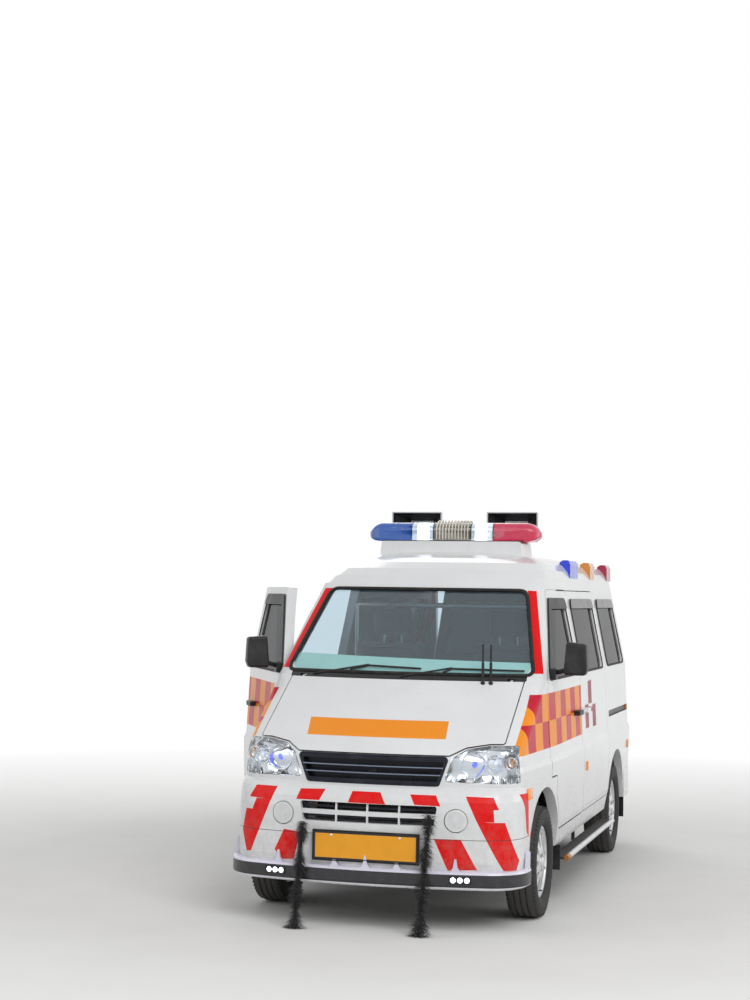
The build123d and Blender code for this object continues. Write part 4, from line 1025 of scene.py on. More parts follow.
@dataclass(frozen=True)
class LampLens(Finish):
    """A coloured lens, whose colour and glow change along one axis."""

    zones: tuple[tuple[float, Colour, float], ...]
    axis: int = 0
    ribs: float = 900.0
    rib_axis: int = 0
    rough: float = 0.10
    clear: float = 0.25

    def build(self) -> bpy.types.Material:
        """Make the material. Each zone has the place where it starts, a colour and its glow."""
        net, spot = self.start()
        axes = net.axes(spot)
        along = axes[self.axis]
        colour: Flow | Colour = self.zones[0][1]
        glow: Flow | Colour = darker(colour, self.zones[0][2])
        for start, tint, level in self.zones[1:]:
            past = along > start
            colour = net.mix(past, colour, tint)
            glow = net.mix(past, glow, darker(tint, level))
        cloud = net.noise(spot, 16.0, 4.0)
        colour = net.mix(cloud.fit(0.5, 0.85) * 0.10, colour, DUST)
        ridges = (axes[self.rib_axis] * self.ribs).sine()
        return net.surface(Base_Color=colour, Roughness=cloud.fit(0.3, 0.7, self.rough, self.rough + 0.1),
                           Normal=net.bump(ridges, 0.0006, 0.5), Emission_Color=glow, Emission_Strength=1.0,
                           Transmission_Weight=self.clear, Coat_Weight=0.5)


@dataclass(frozen=True)
class Weave(Finish):
    """Woven seat cloth: two sets of threads and a slow change of tone."""

    colour: Colour
    second: Colour
    thread: float = 2600.0

    def build(self) -> bpy.types.Material:
        """Make the material."""
        net, spot = self.start()
        x, y, z = net.axes(spot)
        warp = (x * self.thread).sine()
        weft = ((y + z) * self.thread).sine()
        over = (warp * weft).fit(-1.0, 1.0)
        fuzz = net.noise(spot, 350.0, 4.0, 0.8)
        cloud = net.noise(spot, 5.0, 3.0)
        colour = net.mix(over, self.colour, self.second)
        colour = net.mix(cloud.fit(0.4, 0.7) * 0.25, colour, darker(self.colour, 0.6))
        colour = net.mix(fuzz.fit(0.5, 0.8) * 0.2, colour, (0.5, 0.5, 0.5))
        return net.surface(Base_Color=colour, Roughness=fuzz.fit(0.3, 0.7, 0.8, 0.95), Sheen_Weight=0.3,
                           Normal=net.bump(over + fuzz * 0.5, 0.0008, 0.5))


@dataclass(frozen=True)
class Underseal(Finish):
    """Black underbody coating with road dust and rust spots."""

    colour: Colour = (0.022, 0.021, 0.020)
    rust: float = 0.25

    def build(self) -> bpy.types.Material:
        """Make the material."""
        net, spot = self.start()
        patch = net.noise(spot, 7.0, 6.0, 0.65)
        fine = net.noise(spot, 90.0, 5.0, 0.7)
        colour = net.mix(patch.fit(0.4, 0.75) * 0.6, self.colour, (0.13, 0.11, 0.09))
        colour = net.mix((patch + fine * 0.6).fit(0.92, 1.08) * self.rust, colour, (0.17, 0.055, 0.02))
        return net.surface(Base_Color=colour, Roughness=fine.fit(0.3, 0.7, 0.65, 0.95),
                           Normal=net.bump(fine, 0.0025, 0.6))


@dataclass(frozen=True)
class Matting(Finish):
    """Ribbed rubber matting on the floors, paint on the walls."""

    name: str = "floor_matting"

    def build(self) -> bpy.types.Material:
        """Make the material."""
        net, spot = self.start()
        x, _, z = net.axes(spot)
        cloud = net.noise(spot, 11.0, 6.0, 0.65)
        floor = (z > 0.405) & (abs(x) < 0.685)
        coat = net.mix(cloud.fit(0.4, 0.75) * 0.5, (0.024, 0.023, 0.022), (0.12, 0.10, 0.085))
        mat = net.mix(cloud.fit(0.35, 0.75), (0.060, 0.062, 0.064), (0.10, 0.095, 0.085))
        ribs = (x * 520.0).sine() * floor
        shade = net.mix(floor, coat, mat)
        return net.surface(Base_Color=shade, Roughness=cloud.fit(0.3, 0.7, 0.6, 0.85),
                           Normal=net.bump(ribs, 0.0012, 0.6))


@dataclass(frozen=True)
class PlateFace(Finish):
    """A blank registration plate with a dark rim and a glass-bead shine."""

    middle: Pair
    half: Pair
    edge: float = 0.008
    colour: Colour = (0.85, 0.36, 0.012)

    def build(self) -> bpy.types.Material:
        """Make the material."""
        net, spot = self.start()
        x, _, z = net.axes(spot)
        ends = abs(x - self.middle[0]) > self.half[0] - self.edge
        rim = ends | (abs(z - self.middle[1]) > self.half[1] - self.edge)
        cloud = net.noise(spot, 18.0, 5.0, 0.6)
        colour = net.mix(cloud.fit(0.4, 0.8) * 0.3, self.colour, darker(self.colour, 0.75))
        colour = net.mix(rim, colour, (0.012, 0.012, 0.014))
        beads = net.noise(spot, 1500.0, 1.0)
        return net.surface(Base_Color=colour, Roughness=cloud.fit(0.3, 0.7, 0.28, 0.42),
                           Normal=net.bump(beads, 0.0002, 0.4))


@dataclass(frozen=True)
class Glow(Finish):
    """A small lit lamp."""

    colour: Colour
    strength: float

    def build(self) -> bpy.types.Material:
        """Make the material."""
        net, spot = self.start()
        dots = net.noise(spot, 300.0, 2.0)
        light = net.mix(dots.fit(0.3, 0.7), self.colour, darker(self.colour, 0.75))
        return net.surface(Base_Color=light, Roughness=0.2, Emission_Color=light,
                           Emission_Strength=self.strength)


@dataclass(frozen=True)
class StepBoard(Finish):
    """Side step: dark ribbed board, bright tube outside and an amber cap at its front end."""

    name: str = "side_step_finish"

    def build(self) -> bpy.types.Material:
        """Make the material."""
        net, spot = self.start()
        x, y, _ = net.axes(spot)
        outer = abs(x) > 0.7475
        cap = outer & (y < -0.716)
        cloud = net.noise(spot, 14.0, 5.0, 0.65)
        base = net.mix(cloud.fit(0.4, 0.75) * 0.5, (0.020, 0.020, 0.021), (0.10, 0.09, 0.075))
        bright = net.mix(cloud.fit(0.5, 0.8) * 0.35, (0.66, 0.67, 0.68), (0.25, 0.22, 0.19))
        colour = net.mix(cap, net.mix(outer, base, bright), (0.42, 0.15, 0.03))
        ribs = (x * 700.0).sine() * (1.0 - outer)
        rough = cloud.fit(0.3, 0.7, 0.28, 0.5) + 0.25 * (1.0 - outer)
        return net.surface(Base_Color=colour, Metallic=(outer - cap) * 0.9, Roughness=rough,
                           Normal=net.bump(ribs, 0.0015, 0.6))


class Paints:
    """All finishes, each made once."""

    def __init__(self, turn: float, hinge: Point) -> None:
        """Make the finishes.

        Args:
            turn: Angle in radians that shuts the open door, whose stripes turn with it.
            hinge: Foot of its hinge.
        """
        clear = ((0.60, 0.70, 0.80), 0.25)
        lit = ((0.95, 0.97, 1.0), 1.1)
        finishes = {
            "white": CoachPaint("coach_white"),
            "side": CoachPaint("coach_side", (Mark.CHEQUER, Mark.PILLAR, Mark.GROOVE)),
            "door": CoachPaint("coach_door", (Mark.CHEQUER,)),
            "open_door": CoachPaint("coach_open_door", (Mark.CHEQUER,), turn=turn, centre=hinge),
            "slide": CoachPaint("coach_slide", (Mark.BARS,)),
            "nose": CoachPaint("coach_nose", (Mark.CHEQUER, Mark.COWL)),
            "bonnet": CoachPaint("coach_bonnet", (Mark.CHEQUER, Mark.BAND)),
            "bumper": CoachPaint("coach_bumper", (Mark.BUMPER,)),
            "lip": LipPaint(),
            "black": Moulded("moulded_black", (0.018, 0.018, 0.020), 0.42),
            "smoked": Moulded("smoked_black", (0.012, 0.012, 0.014), 0.16, 60.0, 0.0002, 0.06),
            "rubber": Moulded("seal_rubber", (0.012, 0.012, 0.012), 0.62, 240.0, 0.0003, 0.15),
            "navy": Moulded("grille_navy", (0.010, 0.012, 0.020), 0.30, 380.0, 0.0003, 0.08),
            "line": Metal("grille_line", (0.22, 0.26, 0.34), 0.3, 0.7),
            "chrome": Metal("bright_chrome", (0.80, 0.81, 0.82), 0.10, dirt=0.05),
            "steel": Metal("drawn_steel"),
            "bright": Metal("bright_tube", (0.68, 0.69, 0.70), 0.22, stretch=(300.0, 6.0, 300.0), dirt=0.25),
            "pipe": Metal("exhaust_pipe", (0.30, 0.27, 0.24), 0.5, 0.8, dirt=0.8, stain=(0.16, 0.07, 0.03)),
            "alloy_front": WheelPaint("alloy_front", FRONT_AXLE),
            "alloy_rear": WheelPaint("alloy_rear", REAR_AXLE),
            "tyre_front": TyreRubber("tyre_front", FRONT_AXLE),
            "tyre_rear": TyreRubber("tyre_rear", REAR_AXLE),
            # the windscreen carries a painted turquoise reflection along its foot
            "screen": SafetyGlass("screen_glass", (0.55, 0.70, 0.78), 0.95, reflection_band=(0.33, 0.66, 0.66)),
            "dark_glass": SafetyGlass("dark_glass", (0.020, 0.024, 0.027), 0.85, 0.02, 1.09),
            "lamp_clear": SafetyGlass("lamp_clear", (0.90, 0.93, 0.96), 0.97, 0.03),
            "dash": Moulded("dash_top", (0.20, 0.40, 0.42), 0.5, 320.0, 0.0005, 0.05),
            "trim": Moulded("cabin_trim", (0.17, 0.18, 0.19), 0.55, 300.0, 0.0006, 0.08),
            "vinyl": Moulded("bench_vinyl", (0.035, 0.050, 0.085), 0.42, 260.0, 0.0006, 0.06, leather=True),
            "cover": Moulded("mattress_cover", (0.045, 0.05, 0.055), 0.48, 220.0, 0.0006, 0.06, leather=True),
            "cloth": Weave("seat_cloth", (0.10, 0.105, 0.12), (0.055, 0.058, 0.07)),
            "seal": Underseal("underseal"),
            "mat": Matting(),
            "horn": Metal("horn_paint", (0.56, 0.58, 0.60), 0.4, 0.15, (60.0, 60.0, 60.0), 0.2),
            "plug": Moulded("horn_plug", (0.62, 0.64, 0.66), 0.4),
            "front_plate": PlateFace("front_plate_face", (0.0, 0.3885), (0.250, 0.0635)),
            "rear_plate": PlateFace("rear_plate_face", (0.0, 0.590), (0.250, 0.060)),
            "led": Glow("led_white", (0.80, 0.86, 1.0), 3.0),
            "blue_bulb": Glow("bulb_blue", (0.06, 0.10, 0.95), 1.6),
            "white_bulb": Glow("bulb_white", (0.75, 0.80, 0.95), 0.6),
            # the amber and red lenses glow faintly; on the reflectors, which are no lamps, that glow is
            # painted light
            "amber": LampLens("amber_lens", ((-9.0, (0.90, 0.33, 0.01), 0.12),), rib_axis=2),
            "red_lens": LampLens("red_lens", ((-9.0, (0.60, 0.010, 0.012), 0.10),), rib_axis=2),
            "bar": LampLens("bar_lens", (
                (-9.0, (0.012, 0.10, 0.42), 0.15), (-0.230, *clear), (-0.200, *lit), (-0.130, *clear),
                (-0.110, (0.32, 0.32, 0.30), 0.0), (0.110, *clear), (0.130, *lit), (0.200, *clear),
                (0.230, (0.62, 0.012, 0.075), 0.15))),
            "roof_lamp": LampLens("roof_lamp_lens", (
                (-9.0, (0.010, 0.04, 0.62), 0.20), (0.70, (0.70, 0.27, 0.03), 0.10),
                (1.30, (0.35, 0.015, 0.06), 0.2)), 1, rib_axis=1, ribs=700.0),
            "tail": LampLens("tail_lens", (
                (-9.0, (0.75, 0.78, 0.80), 0.05), (0.705, (0.60, 0.010, 0.012), 0.12),
                (0.825, (0.85, 0.30, 0.01), 0.1)), 2, rib_axis=2, ribs=1100.0),
            "bar_rib": Moulded("bar_rib", (0.62, 0.58, 0.48), 0.35, 300.0, 0.0002, 0.05),
            "mirror": Metal("mirror_silver", (0.85, 0.87, 0.88), 0.06, dirt=0.05),
            "strap": Weave("belt_web", (0.45, 0.10, 0.02), (0.30, 0.06, 0.01), 1800.0),
            "step": StepBoard(),
            "yarn": Moulded("black_yarn", (0.010, 0.010, 0.011), 0.8, 800.0, 0.0004, 0.03, sheen=0.4),
        }
        self.made = {name: finish.build() for name, finish in finishes.items()}

    def __getitem__(self, name: str) -> bpy.types.Material:
        """The material of a finish."""
        return self.made[name]


# Sub-assemblies


@dataclass
class Wheels:
    """Tyres with grooved treads, nuts, caps and valves on the four wheels."""

    track_half: float = 0.6425
    front: float = FRONT_AXLE
    wheelbase: float = REAR_AXLE - FRONT_AXLE
    hub: float = HUB_HEIGHT
    radius: float = HUB_HEIGHT
    bead: float = 0.172
    half_width: float = 0.0775
    lugs: int = 64
    grooves: tuple[float, ...] = (0.030, 0.0, -0.030)
    groove_depth: float = 0.0065
    nuts: int = 4
    nut_circle: float = 0.048

    def profile(self) -> list[Pair]:
        """The tyre's section, once round, from the inner bead.

        Returns:
            Pairs of offset along the axle and radius.
        """
        w, r, b = self.half_width, self.radius, self.bead
        tread = [(w - 0.034, r - 0.0005)]
        floor = r - self.groove_depth
        for groove in self.grooves:
            tread += [(groove + 0.0035, r - 0.0002), (groove + 0.0028, floor), (groove - 0.0028, floor),
                      (groove - 0.0035, r - 0.0002)]
        tread += [(0.034 - w, r - 0.0005)]
        right = [(w - 0.0215, b + 0.0005), (w - 0.013, b + 0.006), (w - 0.005, b + 0.026),
                 (w - 0.0008, b + 0.044), (w - 0.0004, b + 0.048), (w - 0.0012, b + 0.050),
                 (w - 0.0035, r - 0.026), (w - 0.0055, r - 0.019), (w - 0.013, r - 0.009),
                 (w - 0.024, r - 0.0025)]
        left = [(-a, c) for a, c in reversed(right)]
        return right + tread + left + [right[0]]

    def tyre(self, paints: Paints) -> bpy.types.Object:
        """Model the left front tyre.

        Args:
            paints: The finishes.

        Returns:
            The tyre.
        """
        centre = (self.track_half, self.front, self.hub)
        body = Shaper("tyre_body").lathe(centre, (1, 0, 0), self.profile(), 72).done(paints["tyre_front"], 40)
        things = [body]
        for side in (-1, 1):
            x = self.track_half + side * (self.half_width - 0.020)
            low = (x - 0.0115, self.front - 0.0045, self.hub + self.radius - 0.010)
            block = Shaper("lug").box(low, (x + 0.0115, self.front + 0.0045, self.hub + self.radius - 0.0012))
            block.pick(lambda c, n: n.x * side > 0.9).move((side * 0.002, 0.0, -0.006))
            lug = block.done(paints["tyre_front"], bevel=0.0008)
            for i in range(self.lugs):
                angle = math.tau * (i + 0.25 * side) / self.lugs
                things.append(copied(lug, "lug_copy", turned(angle, centre, "X")))
            bpy.data.objects.remove(lug)
        return joined("tyre_tread_front_left", things)

    def cap(self, paints: Paints) -> bpy.types.Object:
        """Model the left front wheel's centre cap, nuts and valve."""
        y, z, face = self.front, self.hub, self.track_half + 0.062
        dome = Shaper("cap").lathe((face, y, z), (1, 0, 0), (
            (0.0, 0.033), (0.004, 0.033), (0.006, 0.030), (0.007, 0.020), (0.0085, 0.018), (0.010, 0.0)), 40)
        things = [dome.done(paints["alloy_front"], 30)]
        for i in range(self.nuts):
            angle = math.tau * (i + 0.5) / self.nuts
            spot = (face, y + self.nut_circle * math.cos(angle), z + self.nut_circle * math.sin(angle))
            nut = Shaper("nut").lathe(spot, (1, 0, 0), (
                (-0.002, 0.0105), (0.001, 0.0105), (0.002, 0.0085), (0.011, 0.0085), (0.0125, 0.006),
                (0.0125, 0.0)), 6)
            things.append(nut.done(paints["steel"], 25))
        stem = Shaper("valve").lathe((self.track_half + 0.040, y, z - 0.146), (0.9, 0.0, 0.3), (
            (0.0, 0.004), (0.016, 0.0035), (0.017, 0.0045), (0.024, 0.0045), (0.025, 0.0)), 12)
        return joined("wheel_cap_front_left", [*things, stem.done(paints["rubber"])])

    def build(self, paints: Paints) -> None:
        """Make one wheel's pieces and copy them to the others."""
        for name, thing in (("tyre_tread", self.tyre(paints)), ("wheel_cap", self.cap(paints))):
            for end in ("front", "rear"):
                for hand in ("left", "right"):
                    place = f"{end}_{hand}"
                    change = Matrix.Translation((0.0, self.wheelbase if end == "rear" else 0.0, 0.0))
                    if hand == "right":
                        change = MIRROR @ change
                    piece = thing if place == "front_left" else copied(thing, f"{name}_{place}", change)
                    if end == "rear":
                        for slot in piece.material_slots:
                            if slot.material.name.endswith("_front"):
                                slot.material = paints[slot.material.name.replace("_front", "_rear")]
                    if name == "tyre_tread":
                        seat(piece, f"wheel_{place}", [f"tyre_{place}"])
                    else:
                        seat(piece, f"wheel_{place}")


@dataclass
class Windows:
    """Rubber seals round the panes."""

    corner: float = 0.04
    screen: Outline = ((-0.633, 1.168), (0.633, 1.168), (0.522, 1.585), (-0.522, 1.585))
    door: Outline = ((-0.9905, 1.145), (-0.155, 1.145), (-0.185, 1.535), (-0.6355, 1.535))
    slide: Outline = ((0.001, 1.148), (0.7495, 1.148), (0.7495, 1.535), (0.001, 1.535))
    quarter: Outline = ((0.9445, 1.152), (1.610, 1.152), (1.575, 1.535), (0.9445, 1.535))
    back: Outline = ((-0.505, 1.165), (0.505, 1.165), (0.448, 1.525), (-0.448, 1.525))

    def build(self, frame: dict, paints: Paints, hinge: Matrix) -> None:
        """Make the seals.

        Args:
            frame: The loaded frame.
            paints: The finishes.
            hinge: The turn of the open right door.
        """
        nose = Surface(frame, "side_left", "side_right", "front_panel", "roof")
        line = [nose.front(x, z) for x, z in rounded(self.screen, self.corner, 0.006)]
        seat(tube("screen_gasket", line, 0.010, paints["rubber"], closed=True), "root")
        rear = Surface(frame, "tailgate")
        line = [rear.rear(x, z) for x, z in rounded(self.back, self.corner, 0.006)]
        gasket = tube("back_window_gasket", line, 0.008, paints["rubber"], closed=True)
        seat(gasket, "tailgate")
        # columns: name, outline, node, body of the left seal, body of the right one, place of the right one
        seals = (
            ("door_seal", self.door, "front_door_left", "front_door_left", "front_door_right",
             hinge @ MIRROR),
            ("slide_seal", self.slide, "sliding_door_left", "root", "root", MIRROR),
            ("quarter_seal", self.quarter, "side_left", "root", "root", MIRROR))
        for name, outline, node, body, twin_body, place in seals:
            skin = Surface(frame, node)
            line = [skin.side(y, z) for y, z in rounded(outline, self.corner, 0.005)]
            seal = tube(f"{name}_left", line, 0.006, paints["rubber"], closed=True)
            twin = copied(seal, f"{name}_right", place)
            seat(seal, body)
            seat(twin, twin_body)


@dataclass
class FrontEnd:
    """Dress of the grille, bumper and guard lip: lines, blanks, plate and small lamps."""

    plate_low: float = 0.325
    plate_high: float = 0.452
    plate_half: float = 0.250
    bolt_x: float = 0.165
    bracket_x: float = 0.150
    lamp_x: float = 0.445
    lamp_height: float = 0.258
    lamp_pitch: float = 0.032
    blank_x: float = 0.418
    blank_height: float = 0.523
    blank_rings: int = 7
    badge_height: float = 0.738
    reflector_low: float = 0.604
    reflector_high: float = 0.654

    def grille_lines(self, frame: dict, paints: Paints) -> None:
        """Two fine lines on the grille's bars and one round its rim."""
        face = Surface(frame, "grille")
        for i, z in enumerate((0.721, 0.755)):
            half = 0.318 + (z - 0.687) * 0.35
            line = [face.front(-half + 2 * half * k / 24, z) + Vector((0, -0.0005, 0)) for k in range(25)]
            seat(tube(f"grille_line_{i}", line, 0.0032, paints["line"]), "root")
        mouth = ((-0.3215, 0.6705), (0.3215, 0.6705), (0.3695, 0.8055), (-0.3695, 0.8055))
        line = [face.front(x, z) for x, z in rounded(mouth, 0.018, -0.006)]
        seat(tube("grille_rim", line, 0.0045, paints["navy"], closed=True), "root")
        spot = face.front(0.0, self.badge_height)
        shape = Shaper("grille_blank").disc((0.0, spot.y - 0.001, self.badge_height), 0.020, (0, -1, 0), 40)
        shape.all().extrude((0.0, -0.004, 0.0)).inset(0.003).move((0.0, 0.0015, 0.0))
        seat(shape.done(paints["navy"], bevel=0.0006), "root")

    def blanks(self, frame: dict, paints: Paints) -> None:
        """Round covers with fine ridges where fog lamps would go."""
        face = Surface(frame, "front_bumper")
        high, low = 0.0032, 0.0016
        profile = [(-0.004, 0.050), (0.0022, 0.050), (high, 0.048), (high, 0.045)]
        for k in range(self.blank_rings):
            r = 0.042 - k * 0.0052
            profile += [(high, r), (low, r - 0.0010), (low, r - 0.0030), (high, r - 0.0040)]
        for i, x in enumerate((-self.blank_x, self.blank_x)):
            middle = face.front(x, self.blank_height)
            edge = face.front(x + math.copysign(0.03, x), self.blank_height)
            out = math.copysign(abs(edge.y - middle.y), x)
            way = Vector((out, -abs(edge.x - middle.x), 0.0)).normalized()
            cover = Shaper(f"bumper_blank_{i}").lathe(middle, way, [*profile, (high, 0.0)], 56)
            seat(cover.done(paints["white"], 25), "root")

    def plate(self, frame: dict, paints: Paints) -> None:
        """Blank front plate in a shallow holder with two bolts and two brackets."""
        skin = Surface(frame, "front_bumper", "grille")
        spots = [skin.front(x, z).y for x in (-0.24, -0.12, 0.0, 0.12, 0.24) for z in (0.33, 0.39, 0.445)]
        back = min(y for y in spots if y > MISSED) - 0.003
        low = (-self.plate_half, back - 0.010, self.plate_low)
        high = (self.plate_half, back - 0.004, self.plate_high)
        holder = Shaper("plate_holder").box((low[0] - 0.008, low[1] + 0.004, low[2] - 0.008),
                                            (high[0] + 0.008, back, high[2] + 0.008))
        holder.pick(lambda c, n: n.y < -0.9).inset(0.007).move((0.0, 0.002, 0.0))
        seat(holder.done(paints["black"], bevel=0.0015), "root")
        face = Shaper("front_plate").box(low, high)
        face.pick(lambda c, n: n.y < -0.9).inset(0.007).move((0.0, 0.0016, 0.0)).inset(0.002)
        seat(face.done(paints["front_plate"], bevel=0.0012), "root")
        bolts = []
        for x in (-self.bolt_x, self.bolt_x):
            bolt = Shaper("bolt").lathe((x, low[1] + 0.0017, high[2] - 0.016), (0, -1, 0), (
                (-0.002, 0.006), (0.001, 0.006), (0.0025, 0.0045), (0.003, 0.002), (0.0015, 0.0)), 12)
            bolts.append(bolt.done(paints["steel"]))
        seat(joined("plate_bolts", bolts), "root")
        bars = []
        for x in (-self.bracket_x, self.bracket_x):
            foot, top = (x - 0.012, back, low[2] + 0.02), (x + 0.012, back + 0.030, high[2] - 0.02)
            bar = Shaper("bracket").box(foot, top)
            bar.pick(lambda c, n: n.y > 0.9).scale((1.6, 1.0, 1.1), (x, 0.0, 0.39))
            bars.append(bar.done(paints["black"], bevel=0.002))
        seat(joined("plate_brackets", bars), "root")

    def lip_lamps(self, frame: dict, paints: Paints) -> None:
        """Two clusters of three small lit lamps on the lip's band."""
        face = Surface(frame, "front_guard")
        for i, x in enumerate((-self.lamp_x, self.lamp_x)):
            left, middle, right = [face.front(x + dx, self.lamp_height) for dx in (-0.05, 0.0, 0.05)]
            way = (right - left).normalized()
            back = Vector((-way.y, way.x, 0.0))
            place = Matrix.Translation(middle) @ Matrix((way, back, (0.0, 0.0, 1.0))).transposed().to_4x4()
            body = Shaper("pod").box((-0.052, -0.005, -0.016), (0.052, 0.004, 0.016))
            body.pick(lambda c, n: n.y < -0.9).inset(0.003).move((0.0, 0.0015, 0.0))
            things = [body.done(paints["black"], bevel=0.0012)]
            for dx in (-self.lamp_pitch, 0.0, self.lamp_pitch):
                lamp = Shaper("lamp").lathe((dx, -0.003, 0.0), (0, -1, 0), (
                    (-0.001, 0.0125), (0.0015, 0.0125), (0.0028, 0.010), (0.0034, 0.005), (0.0036, 0.0)), 24)
                things.append(lamp.done(paints["led"], 60))
            pod = joined(f"lip_lamps_{i}", things)
            pod.data.transform(place)
            seat(pod, "root")

    def reflectors(self, frame: dict, paints: Paints) -> None:
        """Amber side reflectors: bumper corner, mid body and rear."""
        skin = Surface(frame, "side_left", "front_bumper", "sliding_door_left", "rear_bumper")
        things = []
        low, high = self.reflector_low, self.reflector_high
        for y, half in ((-1.508, 0.036), (0.020, 0.024), (1.640, 0.024)):
            corners = ((-half, low), (half, low), (half, high), (-half, high))
            spots = [skin.side(y + dy, z) + Vector((0.001, 0, 0)) for dy, z in corners]
            plate = Shaper("reflector").plate(spots)
            plate.all().extrude((0.006, 0.0, 0.0)).inset(0.003).move((0.0015, 0.0, 0.0)).outwards()
            # painted light: the amber finish makes this reflector glow
            things.append(plate.done(paints["amber"], bevel=0.001))
        left = joined("side_reflectors_left", things)
        right = copied(left, "side_reflectors_right", MIRROR)
        seat(left, "root")
        seat(right, "root")

    def build(self, frame: dict, paints: Paints) -> None:
        """Make all of the front's dress."""
        self.grille_lines(frame, paints)
        self.blanks(frame, paints)
        self.plate(frame, paints)
        self.lip_lamps(frame, paints)
        self.reflectors(frame, paints)


@dataclass
class Headlamps:
    """Clear lens shells over bright housings with bowls and bulbs."""

    wall: float = 0.0025
    sides: int = 40
    # columns: name, x, height, radius, bulb
    bowls: tuple[tuple[str, float, float, float, str], ...] = (
        ("main", 0.475, 0.770, 0.058, "blue_bulb"), ("side", 0.572, 0.776, 0.040, "white_bulb"),
        ("turn", 0.636, 0.775, 0.026, "amber"))

    def shell(self, frame: dict, name: str, front: bool, finish: bpy.types.Material) -> bpy.types.Object:
        """Take the outer or the inner faces of the lamp's block.

        Args:
            frame: The loaded frame.
            name: The piece's name.
            front: Whether the outer faces are taken.
            finish: Its finish.

        Returns:
            The shell, with a wall.
        """
        shape = Shaper.of_node(frame, "headlamps", name)
        shape.pick(lambda c, n: (n.y < -0.08) != front).remove()
        return shape.done(finish, 30, thickness=self.wall)

    def build(self, frame: dict, paints: Paints) -> None:
        """Make both lamps."""
        lens = self.shell(frame, "lamp_lens", True, paints["lamp_clear"])
        housing = self.shell(frame, "lamp_housing", False, paints["chrome"])
        seat(lens, "root", replaces=["headlamps"])
        seat(housing, "root")
        skin = Surface(frame, "headlamps")
        things = []
        for name, x, z, radius, bulb in self.bowls:
            around = ((-radius, 0), (radius, 0), (0, radius), (0, -radius), (0, 0))
            spots = [skin.front(x + dx, z + dz).y for dx, dz in around]
            mouth = max(y for y in spots if y > MISSED) + 0.006
            depth = min(0.030, radius * 0.6)
            bowl = Shaper(name).lathe((x, mouth, z), (0, 1, 0), (
                (0.0, radius), (0.0, radius - 0.003), (depth * 0.45, radius * 0.86),
                (depth * 0.8, radius * 0.55), (depth, radius * 0.22), (depth, 0.0)), self.sides)
            things.append(bowl.done(paints["chrome"], 50, thickness=-0.001))
            lamp = Shaper(name + "_bulb").lathe((x, mouth + depth, z), (0, -1, 0), (
                (0.0, radius * 0.20), (radius * 0.35, radius * 0.22), (radius * 0.55, radius * 0.16),
                (radius * 0.62, 0.0)), 24)
            things.append(lamp.done(paints[bulb], 50))
            angles = [math.tau * k / self.sides for k in range(self.sides)]
            ring = [(x + radius * math.cos(a), mouth, z + radius * math.sin(a)) for a in angles]
            things.append(tube(name + "_ring", ring, 0.0022, paints["chrome"], closed=True))
        left = joined("lamp_bowls_left", things)
        right = copied(left, "lamp_bowls_right", MIRROR)
        seat(left, "root")
        seat(right, "root")


